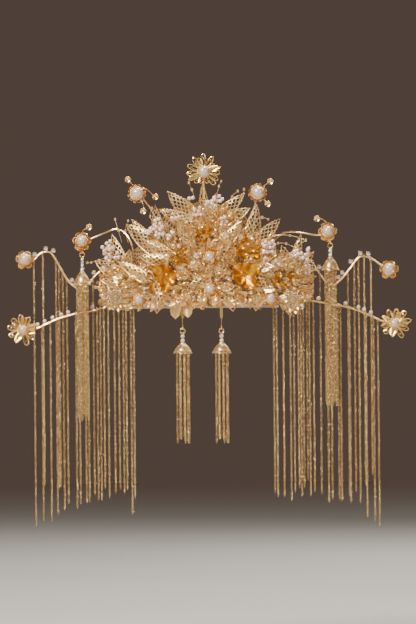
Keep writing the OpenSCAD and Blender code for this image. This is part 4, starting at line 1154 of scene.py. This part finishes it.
def pearlFlower(name, node, seat, d, count, reach):
    chance = random.Random(name)
    place = flowerPlace(seat, reach)
    matrix = facing(place)
    bm = bmesh.new()
    wires = pearlSeat(bm, matrix, d, 6)
    look = pearlLook
    breadth = reach * tau / count * look["petalShare"]
    petal = dict(fanPetal, inner=d * look["petalFrom"], reach=reach, breadth=breadth)
    for i, a in enumerate(angles(count)):
        wires += addPetal(bm, petal, pi / 2 + a, matrix, i)
    inner, outer = d * look["burstFrom"], reach * look["burstReach"]
    wires += burst(matrix, bm, count * 3, inner, outer, look["burstLift"], chance)
    addWires(bm, wires, 4)
    postBehind(bm, place)
    keepPiece(name, bm, "brightGold", "bright_gold", node)


pearlFlowers = {  # node, the pearl, number of petals and their reach
    "crest": ("crest_flower", 7, 6, 7.1), "centre": ("centre_flower", 10, 8, 9.5),
    "lowCentre": ("low_flower_centre", 10, 8, 9.5), "lowLeft": ("low_flower_left", 9, 6, 8.1),
    "lowRight": ("low_flower_right", 9.5, 6, 8.1)}
for seat, (node, d, count, reach) in pearlFlowers.items():
    pearlFlower(seat + "Flower", node, seat, d, count, reach)

# Deep gold flowers: broad cupped petals with veins and a rolled edge, stamens and a crossing wire
goldPetals = {  # each petal: its angle, reach, half breadth and lift
    "left": {
        "petals": [(150, 17, 7.2, 6.5), (212, 14, 6.0, 3.0), (258, 17.5, 6.0, 7.5), (8, 11, 4.6, 5.5),
                   (95, 11, 4.6, 5.5), (310, 10, 4, 4)],
        "cross": [(-6, 5, 7), (-3.5, -2, 9.5), (-1, -14, 8)]},
    "right": {
        "petals": [(128, 13, 6.0, 4.5), (28, 18, 7.5, 6.0), (308, 18, 7.6, 7.5), (196, 11, 4.8, 5.0),
                   (75, 12, 5, 6), (255, 11, 4.6, 4)],
        "cross": [(-9, 9, 7), (-2, 2, 9.5), (6, -5, 9.5), (14, -14, 8)]},
}
goldLook = {
    "reach": 17, "inner": 1.2, "across": 22, "along": 12, "thick": 0.35, "wire": 0.24,
    "stamens": 13, "stamenTurn": 2.4, "stamenOut": 1.1, "stamenUp": 3.6, "uneven": 0.9, "stamenBall": 0.75,
    "boss": 3.7, "bossShare": 0.55, "crossWire": 0.26, "crossBall": 0.95}


def goldPetalPoint(matrix, angle, reach, half, lift, phase):
    spun = matrix @ rotated(angle)

    def pointAt(u, t):
        wide = half * sin(pi * (0.1 + 0.66 * t)) ** 0.8
        r = goldLook["inner"] + (reach - goldLook["inner"]) * t * (1 - 0.24 * u * u)
        veins = 0.05 * sin(9 * pi * u) * t
        frill = 0.4 * sin(2.5 * pi * u + phase) * t ** 4
        rolled = 1.3 * max(t - 0.75, 0) ** 2 / 0.06
        cup = 0.5 + lift * t ** 1.6 + 2.4 * u * u * t
        return spun @ Vector((r, u * wide, cup - rolled + veins + frill))
    return pointAt


def goldFlower(name, node, flower):
    look = goldLook
    chance = random.Random(name)
    place = flowerPlace(name, look["reach"])
    matrix = facing(place)
    bm, wires = bmesh.new(), []
    for i, (angle, reach, half, lift) in enumerate(flower["petals"]):
        raised = matrix @ moved(rise(0.5 * (i % 2)))
        pointAt = goldPetalPoint(raised, radians(angle), reach, half, lift, i * 1.7)
        addSheet(bm, pointAt, look["across"], look["along"], look["thick"])
        wires.append(([pointAt(-1 + j / 10, 1) for j in range(21)], look["wire"]))
    for i in range(look["stamens"]):
        a, out = i * look["stamenTurn"], look["stamenOut"] * sqrt(i)
        tip = matrix @ polar(out * 1.15, a, look["stamenUp"] + look["uneven"] * chance.random())
        wires.append(([matrix @ polar(out * 0.5, a, 0.5), tip], look["wire"]))
        ballAt(bm, tip, look["stamenBall"], fineGranule)
    pour(bm, ball(look["boss"], 14, 8), matrix @ scaled(look["bossShare"], (0, 0, 1)))
    crossing = [matrix @ Vector(p) for p in flower["cross"]]
    start = matrix @ Vector((*flower["cross"][0][:2], 0))
    wires.append(([start] + crossing, look["crossWire"]))
    for p in crossing:
        ballAt(bm, p, look["crossBall"])
    addWires(bm, wires, 4)
    postBehind(bm, place)
    keepPiece(name + "Flower", bm, "deepGold", "deep_gold", node)


for hand in hands:
    goldFlower("gold" + hand.title(), "gold_flower_" + hand, goldPetals[hand])

# Rosettes: netted petals under a plate of claw-set stones
rosetteLook = {
    "reach": 12, "petals": 9, "plateR": 7.44, "plateUp": 3, "plateThick": 1, "stemR": 3, "bead": 0.48,
    "beads": 40, "stone": 3.4, "claws": 8, "clawRows": [(1.2, -0.5), (-0.9, 0.5)], "clawUp": (0, 1.3, 1.9),
    "wire": 0.26, "long": 9, "longOut": (9.6, 10.6), "longUp": (3.6, 4.6), "burst": (22, 4, 14, 1.6),
    "burstWire": 0.24}
rosettePetal = dict(fanPetal, inner=4, reach=12.4, breadth=3.6, lift=1.8, across=6, along=5, rim=0.3)
innerPetal = dict(rosettePetal, reach=10, base=1.6)
rosetteDrop = {  # balls on wires below one of them
    "hand": "right", "top": (-3, -8, 1), "balls": [(0, -3), (-1.6, -5), (1.2, -5.4), (0, -7.4)],
    "ball": 1.15, "wire": 0.2, "apart": 0.3}


def longStone():  # cut with a table and eight slanting facets, pointed at both ends
    bm = bmesh.new()
    bmesh.ops.create_cone(bm, cap_ends=True, segments=8, radius1=1, radius2=0.55, depth=1)
    bmesh.ops.scale(bm, vec=(2.9, 1.25, 1.1), verts=bm.verts)
    return template(bm)


longCut = longStone()


def stoneClaws(matrix, radius, top):  # two claws between neighbouring stones, bent over them
    look = rosetteLook
    claws = []
    for a in angles(look["claws"], 0.5):
        for shift, lean in look["clawRows"]:
            reach = (radius + shift, radius + shift, radius + shift + lean)
            bent = [matrix @ polar(r, a, top + up) for r, up in zip(reach, look["clawUp"])]
            claws.append((bent, look["wire"]))
    return claws


def longStones(name, matrix, chance):  # pointed stones round the plate, each in a pair of claws
    look = rosetteLook
    stones, wires = bmesh.new(), []
    for i in range(look["long"]):
        a = tau * (i + chance.uniform(0.2, 0.5)) / look["long"]
        middle, up = polar(chance.uniform(*look["longOut"]), a), rise(chance.uniform(*look["longUp"]))
        slant = rotated(a + chance.gauss(0, 0.3)) @ rotated(chance.gauss(0, 0.25), "X")
        stamp(stones, longCut, matrix @ moved(middle + up) @ slant)
        for across in (polar(-1, a + pi / 2), polar(1, a + pi / 2)):
            path = (middle * 0.9 + across, middle + across * 1.6 + up, middle + across * 0.9 + up * 1.3)
            wires.append(([matrix @ p for p in path], look["wire"]))
    keepPiece(name + "Stones", stones, "crystal", "crystal", crease=10)
    return wires


def addDrop(bm, top):
    look = rosetteDrop
    wires = []
    for i, (dx, dz) in enumerate(look["balls"]):
        p = top + Vector((dx, -look["apart"] * i, dz))
        wires.append(([top, p], look["wire"]))
        ballAt(bm, p, look["ball"])
    return wires


def makeRosette(hand):
    look = rosetteLook
    name = "rosette" + hand.title()
    chance = random.Random(name)
    place = flowerPlace(name, look["reach"])
    matrix = facing(place)
    bm, wires = bmesh.new(), []
    for i in range(look["petals"]):
        wires += addPetal(bm, rosettePetal, tau * i / look["petals"], matrix, i)
        wires += addPetal(bm, innerPetal, tau * (i + 0.5) / look["petals"], matrix, i)
    top = look["plateUp"] + look["plateThick"]
    addPost(bm, matrix, look["plateR"], look["plateUp"], top, 28)
    addPost(bm, matrix, look["stemR"], 0, look["plateUp"] + 0.4, 16)
    beadRing(bm, matrix @ moved(rise(top - 0.4)), look["plateR"] + 0.1, look["bead"], look["beads"])
    wires += stoneClaws(matrix, look["plateR"] - look["stone"] / 2, top)
    wires += longStones(name, matrix, chance)
    wires += burst(matrix, bm, *look["burst"], chance, look["burstWire"])
    if hand == rosetteDrop["hand"]:
        wires += addDrop(bm, matrix @ Vector(rosetteDrop["top"]))
    addWires(bm, wires, 4)
    postBehind(bm, place)
    keepPiece(name, bm, "brightGold", "bright_gold", "rosette_" + hand)


for hand in hands:
    makeRosette(hand)
print("fan flowers made")


# Small work that fills the fan between the flowers, soldered on stems to the leaves behind it
def fanMatrix(x, z, radius):  # flat on the bent fan, local Z to the front
    return moved(onWall(x, z, radius)) @ rotated(asin(x / radius)) @ rotated(pi / 2, "X")


def foldedLeaf(length, half, fold, curl):
    def pointAt(u, t):
        wide = half * (sin(pi * min(t * 1.05, 1)) ** 0.8 if t < 1 else 0)
        return Vector((length * t, u * wide, fold * abs(u) * wide - curl * t * t))
    return pointAt


def roundPetalPoint(u, t):
    wide = 2.1 * sin(pi * (0.1 + 0.62 * t))
    return Vector((5 * t * (1 - 0.25 * u * u), u * wide, 0.9 * t * t + 0.7 * u * u))


def curlPath():
    return [Vector((2.6 - (2.4 - 0.17 * i) * cos(i * 0.55), (2.4 - 0.17 * i) * sin(i * 0.55), 0.12 * i))
            for i in range(12)]


def small(sheets=(), wires=(), balls=(), hoop=None):  # a small ornament, growing along local X
    bm = bmesh.new()
    for sheet in sheets:
        addSheet(bm, *sheet)
    if wires:
        addWires(bm, wires, 4)
    if hoop:
        pour(bm, ring(*hoop), moved((hoop[0], 0, 0)))
    for place, radius in balls:
        ballAt(bm, Vector(place), radius, fineGranule)
    return template(bm)


nettedPoint = foldedLeaf(14, 3.4, 0.25, 1.6)
fillers = {
    "leaflet": small([(foldedLeaf(6, 1.5, 0.5, 0.9), 2, 4, 0.3)]),
    "loopLeaf": small(wires=[(loopWire(Matrix.Identity(4), 0, 0, 6.5, 1.75, 0.6, 10), 0.33, True),
                             ([(0.2, 0, 0), (5.8, 0, 0.4)], 0.24)]),
    "nettedLeaf": small([(nettedPoint, 2, 4, 0.34, 0.7)], [(rimOf(nettedPoint, 8), 0.34)]),
    "curl": small(wires=[(curlPath(), 0.27)], balls=[(curlPath()[-1], 0.7)]),
    "trio": small(balls=[(Vector((1.2, 0, 0.3)) + polar(0.85, a), 0.85) for a in angles(3)]),
    "roundPetal": small([(roundPetalPoint, 4, 4, 0.3)]),
    "ringlet": small(hoop=(1.5, 0.28, 9, 4), balls=[((1.5, 0, 0.1), 0.8)]),
    "floret": floret,
}
works = {  # finish, slot, and how often each small piece comes in the pale, bright and deep gold work
    "pale": ("champagne", "leaf_gold", {
        "leaflet": 2, "loopLeaf": 10, "curl": 4, "floret": 3, "trio": 1, "ringlet": 4, "roundPetal": 1}),
    "bright": ("paleGold", "bright_gold", {
        "leaflet": 3, "loopLeaf": 8, "curl": 3, "floret": 3, "trio": 2, "ringlet": 4, "roundPetal": 2}),
    "deep": ("deepGold", "deep_gold", {
        "leaflet": 4, "roundPetal": 6, "floret": 4, "trio": 3, "curl": 1, "loopLeaf": 1}),
}
fillLook = {
    "pitch": 4.1, "rowShare": 0.87, "jitter": 1.5, "heart": (1, 20), "mound": 9.5, "stem": 0.24,
    "nettedShare": 0.08, "nettedAbove": 18, "size": (0.8, 1.35), "floretShare": 0.8, "paleShare": 0.6,
    "startX": -107, "breadth": 216, "height": 110, "edge": 118, "slope": 25, "forward": 0.6,
    "share": (0.15, 1), "tilt": (5, 60),
    "top": [(-107, 26), (-98, 42), (-70, 42), (-58, 46), (-46, 54), (-36, 68), (-22, 82), (-8, 96), (8, 99),
            (22, 90), (34, 80), (46, 70), (56, 60), (72, 54), (88, 46), (102, 38), (108, 26)],
    "low": [(-107, 16), (-98, 2), (-60, 1), (-20, 2), (20, 2), (60, 2), (94, 0), (108, 14)],
    "deepPatches": [
        ((-42, 48), 10), ((-24, 52), 8), ((0, 72), 9), ((38, 55), 13), ((46, 62), 8), ((-65.5, 31.5), 6),
        ((73.4, 26), 6), ((-78, 44), 9), ((90, 30), 7), ((55, 30), 7), ((-50, 20), 6)],
    "keepOut": [
        ("centre", 7.4), ("lowCentre", 7.4), ("lowLeft", 6.6), ("lowRight", 6.8), ("crest", 5.4),
        ("goldLeft", 12.5), ("goldRight", 13.5), ("rosetteLeft", 9.5), ("rosetteRight", 9.5)],
}


def rowAt(rows, x):  # the height that a row of (across, up) points has at x
    for (a, low), (b, high) in zip(rows, rows[1:]):
        if a <= x <= b:
            return low + (high - low) * (x - a) / (b - a)
    return None


def fillSpots(chance):  # places in the fan that no flower takes, with the height of the fan's edge there
    look = fillLook
    closed = [(onFan(seats[seat]), radius) for seat, radius in look["keepOut"]]
    step = look["pitch"] * look["rowShare"]
    for row in range(int(look["height"] / step)):
        for column in range(int(look["breadth"] / look["pitch"])):
            across = (column + row % 2 / 2) * look["pitch"]
            x = look["startX"] + across + chance.uniform(-1, 1) * look["jitter"]
            p = Vector((x, 1 + row * step + chance.uniform(-1, 1) * look["jitter"]))
            roof, floor = rowAt(look["top"], x), rowAt(look["low"], x)
            if roof is None or floor is None or not floor < p.y < roof:
                continue
            if all((p - q).length >= r for q, r in closed):
                yield p, roof


def makeFiller():
    look = fillLook
    chance = random.Random(20)
    kept = {work: bmesh.new() for work in works}
    stems = {work: [] for work in works}
    for p, roof in fillSpots(chance):
        deepest = min((p - Vector(q)).length / r for q, r in look["deepPatches"])
        odds = chance.random()
        work = "deep" if deepest < 0.75 + 0.5 * odds else ("pale" if odds < look["paleShare"] else "bright")
        inside = min((roof - p.y) / look["slope"], 1) * (1 - (p.x / look["edge"]) ** 2)
        forward = look["forward"] + look["mound"] * inside * chance.uniform(*look["share"])
        out = p - Vector(look["heart"])
        turn = out.angle_signed(Vector((1, 0)), 0) + chance.gauss(0, 0.5)
        tilt = radians(chance.uniform(*look["tilt"])) * (0.4 + 0.6 * inside)
        matrix = (fanMatrix(p.x, p.y, fan["frontRadius"] + forward) @ rotated(turn) @ rotated(-tilt, "Y")
                  @ rotated(chance.gauss(0, 0.4), "X"))
        if work != "deep" and p.y > look["nettedAbove"] and chance.random() < look["nettedShare"]:
            shape = "nettedLeaf"
        else:
            mix = works[work][2]
            shape = chance.choices(list(mix), mix.values())[0]
        scale = chance.uniform(*look["size"]) * (look["floretShare"] if shape == "floret" else 1)
        stamp(kept[work], fillers[shape], matrix @ scaled(scale))
        foot = p - out.normalized() * min(3, out.length * 0.2)
        stems[work].append(([matrix @ Vector((0.3, 0, 0)), onWall(*foot, fan["footRadius"])], look["stem"]))
    for work in works:
        addWires(kept[work], stems[work], 4)
        keepPiece(work + "Work", kept[work], *works[work][:2])


makeFiller()

# Net leaves in front of the small work: foot and tip in millimetres, and breadth as a share of the length
frontNets = {"forward": 6.0, "stem": 0.5, "stemFrom": 0.12, "bulge": (1.2, 2.4), "curl": (1.5, 4)}
frontNets["leaves"] = [
    ((-36, 46), (-65, 52), 0.42), ((-34, 52), (-60, 68), 0.36), ((-45, 24), (-48, -5), 0.5),
    ((54, 20), (50.5, -3.5), 0.6), ((46, 34), (71, 13), 0.46), ((-14, 66), (-27, 88), 0.44),
    ((20, 62), (37, 86), 0.4), ((-60, 30), (-86, 47), 0.36), ((68, 42), (90, 52), 0.36),
    ((6, 30), (-14, 24), 0.5), ((-2, 78), (4, 104), 0.3), ((88, 25), (112, 31), 0.34),
    ((86, 12), (109, 15), 0.38), ((-87, 24), (-105, 30), 0.4), ((-84, 9), (-103, 11), 0.42),
    ((92, 34), (107, 42), 0.36), ((-20, 8), (-36, 2), 0.5), ((30, 8), (44, 3), 0.5)]


def makeFrontNets():
    look = frontNets
    chance = random.Random(11)
    bm, wires = bmesh.new(), []
    radius = fan["frontRadius"] + look["forward"]
    for foot, tip, breadth in look["leaves"]:
        pointAt = addLeaf(bm, wires, Vector(foot), Vector(tip), breadth, radius, look, chance)
        stem = [pointAt(0, look["stemFrom"]), pointAt(0, 0), onWall(*foot, fan["footRadius"])]
        wires.append((stem, look["stem"]))
    addWires(bm, wires, 6)
    keepPiece("frontNets", bm, "leafGold", "leaf_gold")


makeFrontNets()
print("small work made")

# Clumps of seed pearls: from, to, half width and number, across and up in millimetres
clumps = [
    ((-99, 67), (-90, 46), 6.5, 18), ((-55, 79), (-53, 76), 4.5, 6), ((-45, 90), (-46, 68), 4.5, 14),
    ((-30, 91), (-29, 89), 4.5, 6), ((-35, 74), (-33, 72), 4.5, 6), ((-14, 111), (-11, 108), 2, 3),
    ((-8, 99), (-6, 92), 4, 9), ((3, 101), (18, 111), 4, 14), ((17, 86), (22, 86), 4, 6),
    ((58, 60), (70, 60), 6, 15), ((59, 48), (62, 45), 4, 6), ((87, 52), (104, 50), 5.5, 16),
    ((100, 38), (105, 38), 3.5, 7), ((103, 59), (105, 57), 2, 3), ((71, 45), (76, 46), 4, 7),
    ((-28, 61), (-24, 58), 4, 7), ((-8, 54), (-5, 52), 3, 4), ((43, 45), (49, 46), 3, 5)]
seedLook = {"radius": 2.0, "bore": 0.3, "spacing": 3.3, "wire": 0.2, "forward": (2.6, 6.6), "tries": 30}


def makeSeeds():  # the pearls as a piece, and the wires that hold them
    look = seedLook
    chance = random.Random(7)
    seed = template(ball(look["radius"], 10, 6, look["bore"]))
    pearls, wires = bmesh.new(), []
    for start, end, half, count in clumps:
        a, b = Vector(start), Vector(end)
        across = Vector((a.y - b.y, b.x - a.x)).normalized()
        spots = []
        tries = 0
        while len(spots) < count and tries < count * look["tries"]:
            tries += 1
            p = a.lerp(b, chance.random()) + across * half * chance.uniform(-1, 1)
            spot = onWall(*p, fan["frontRadius"] + chance.uniform(*look["forward"]))
            if all((spot - q).length > look["spacing"] for q in spots):
                spots.append(spot)
        middle = a.lerp(b, 0.5)
        foot = onWall(middle.x, middle.y - half * 0.6, fan["footRadius"])
        for spot in spots:
            aim = rotated(pi / 2 + chance.gauss(0, 0.6), "X") @ rotated(chance.gauss(0, 0.6), "Y")
            stamp(pearls, seed, moved(spot) @ aim)
            wires.append(([foot, foot.lerp(spot, 0.6) + Vector((0, -1, 0)), spot], look["wire"]))
    keepPiece("seedPearls", pearls, "seedPearl", "pearl")
    return wires


# Fine twigs: the places that each passes, with a ball at all but the last
twigs = [
    [(-89.1, 89.7), (-86.1, 79), (-82.5, 66.5)], [(-43, 97), (-36, 96.5), (-29.5, 94.7), (-24, 92)],
    [(17.5, 126.2), (15, 121), (13, 112)], [(33.6, 116.2), (28, 111), (24, 103)],
    [(64, 88), (58, 90), (50, 88)], [(-15, 125), (-12, 118), (-9, 109)],
    [(101.7, 67.2), (93.3, 61.1), (84, 52)], [(73.4, 64.2), (81.8, 63.7), (93, 58), (104, 50)],
    [(67.5, 75.5), (64, 70), (58, 62)], [(52, 64), (70, 71.5), (85.7, 71.8), (100, 68)],
    [(-118, 47), (-114, 47), (-106, 49), (-98, 52)], [(100, 36), (112, 38), (120, 41)],
    [(-76, 88), (-79, 78), (-76, 66)], [(-52, 100), (-54, 92), (-50, 84)],
    [(40, 118), (38, 110), (33, 100)]]
twigLook = {"wire": 0.26, "ball": 1.6, "forward": (1.0, 2.2), "sunk": 0.5}


def makeTwigs(wires):
    bm = bmesh.new()
    chance = random.Random(3)
    for points in twigs:
        path = [onWall(x, z, fan["frontRadius"] + chance.uniform(*twigLook["forward"])) for x, z in points]
        path[-1] = onWall(*points[-1], fan["frontRadius"] - twigLook["sunk"])
        wires.append((smoothed(path, 5), twigLook["wire"]))
        for p in path[:-1]:
            ballAt(bm, p, twigLook["ball"] * chance.uniform(0.8, 1.1))
    addWires(bm, wires, 4)
    keepPiece("twigs", bm, "champagne", "bright_gold")


makeTwigs(makeSeeds())
print("seed pearls and twigs made")

# The backing: fine net in the imported outline, with a rim, cross wires and solder discs, in a dark brown
# gold that is painted shade, so that the holes of the nets in front of it read as shadow
backingLook = {
    "top": [(0, 0.86), (0.2, 0.81), (0.38, 0.73), (0.48, 0.6), (0.62, 0.48), (0.76, 0.43), (0.86, 0.32)],
    "half": 0.86, "foot": 0.02, "across": 38, "along": 15, "opened": 0.64, "thick": 0.5, "rim": 0.5,
    "cross": 0.45, "crossAt": (-0.66, -0.33, 0, 0.33, 0.66), "hole": 1.8, "disc": 3.4, "discHalf": 0.6}
backingLook["radius"] = fan["bend"] + fan["backing"] / 2


def backingPoint(u, t):
    look = backingLook
    x = u * look["half"]
    up = look["foot"] + (rowAt(look["top"], min(abs(x), look["half"])) - look["foot"]) * t
    return onWall(x * fan["halfWidth"], up * fan["height"], look["radius"])


def makeBacking():
    look = backingLook
    bm = bmesh.new()
    addSheet(bm, backingPoint, look["across"], look["along"], look["thick"], look["opened"])
    edge = [backingPoint(-1 + i / 30, 1) for i in range(61)] + edgeOf(backingPoint, 1, 6)[-2::-1]
    edge += [backingPoint(1 - i / 20, 0) for i in range(1, 41)] + edgeOf(backingPoint, -1, 6)[1:-1]
    crossing = [(edgeOf(backingPoint, u, 6), look["cross"]) for u in look["crossAt"]]
    addWires(bm, [(edge, look["rim"], True)] + crossing, 6)
    hole, disc, half = look["hole"], look["disc"], look["discHalf"]
    for x, z in map(onFan, seats.values()):
        rim = turned([(hole, -half), (disc, -half), (disc, half), (hole, half), (hole, -half)], 18)
        upright = rotated(asin(x / fan["bend"])) @ rotated(pi / 2, "X")
        pour(bm, rim, moved(onWall(x, z, look["radius"])) @ upright)
    keepPiece("backingNet", bm, "backGold", "bright_gold", "backing")


makeBacking()

# The head band: ribbon wound round a flat spring, with metal tie eyes at its ends
band = {"radius": 73, "thick": 1.6, "height": 8, "wound": 15, "pitch": 5.2, "raise": 0.28, "slant": 2.6,
        "steps": 330, "round": 16}
tieEye = {"alongY": 21, "up": 4, "hole": 1.6, "half": 4, "tail": 5, "thick": 0.9, "out": 1.25,
          "ringOut": 0.8, "ringRoom": 0.35, "ringWire": 0.4}


def bandPath(s):  # the place and outward direction at the length s from the left leg's wound end
    middle = band["radius"] + band["thick"] / 2
    arc = pi * middle
    if s < band["wound"]:
        return Vector((-middle, band["wound"] - s, 0)), Vector((-1, 0, 0))
    if s > band["wound"] + arc:
        return Vector((middle, s - arc - band["wound"], 0)), Vector((1, 0, 0))
    a = pi + (s - band["wound"]) / middle
    return polar(middle, a), polar(1, a)


def ribbonPoint(u, t):
    look = band
    total = pi * (look["radius"] + look["thick"] / 2) + 2 * look["wound"]
    s = (u + 1) / 2 * total
    place, out = bandPath(s)
    thin, tall = look["thick"] / 2 - look["raise"], look["height"] / 2 - look["raise"]
    flat, up = max(min(1.5 * cos(tau * t), 1), -1), max(min(1.12 * sin(tau * t), 1), -1)
    wind = (s + look["slant"] * up * (1 if flat > 0 else -1)) / look["pitch"] % 1
    lift = look["raise"] * (1 - wind) ** 0.7
    return place + out * flat * (thin + lift) + rise(look["height"] / 2 + up * (tall + lift))


def makeBand():
    sheet = bmesh.new()
    bmesh.ops.create_grid(sheet, x_segments=band["steps"], y_segments=band["round"], size=1)
    for v in sheet.verts:
        v.co = ribbonPoint(v.co.x, (v.co.y + 1) / 2)
    bmesh.ops.remove_doubles(sheet, verts=sheet.verts, dist=0.001)
    bmesh.ops.holes_fill(sheet, edges=[e for e in sheet.edges if e.is_boundary], sides=0)
    bmesh.ops.recalc_face_normals(sheet, faces=sheet.faces)
    keepPiece("woundBand", sheet, "ribbon", "wrapped_band", "head_band", crease=30)


def tiePlate():  # a square-ended plate with a round hole
    look = tieEye
    plate = bmesh.new()
    bmesh.ops.create_circle(plate, segments=24, radius=look["hole"])
    bmesh.ops.create_circle(plate, segments=24, radius=1)
    for v in plate.verts:
        if v.co.length < 1.1:  # the second circle becomes the plate's edge
            k = max(abs(v.co.x), abs(v.co.y))
            v.co = (v.co.x / k * look["tail" if v.co.x < 0 else "half"], v.co.y / k * look["half"], 0)
    bmesh.ops.bridge_loops(plate, edges=plate.edges[:])
    bmesh.ops.solidify(plate, geom=plate.faces[:], thickness=look["thick"])
    return plate


def makeTieEyes():
    look = tieEye
    eyes = bmesh.new()
    for side in hands.values():
        plateAt = (side * (band["radius"] + look["out"]), look["alongY"], look["up"])
        pour(eyes, tiePlate(), moved(plateAt) @ rotated(pi / 2) @ rotated(pi / 2, "X"))
        ringAt = (side * (band["radius"] + look["ringOut"]), look["alongY"], look["up"])
        pour(eyes, ring(look["hole"] + look["ringRoom"], look["ringWire"], 24),
             moved(ringAt) @ rotated(pi / 2, "Y") @ scaled(2, (0, 0, 1)))
    keepPiece("tieEyes", eyes, "brightGold", "bright_gold")


makeBand()
makeTieEyes()
print("backing and band made")

print("triangles added:", sum(counts))
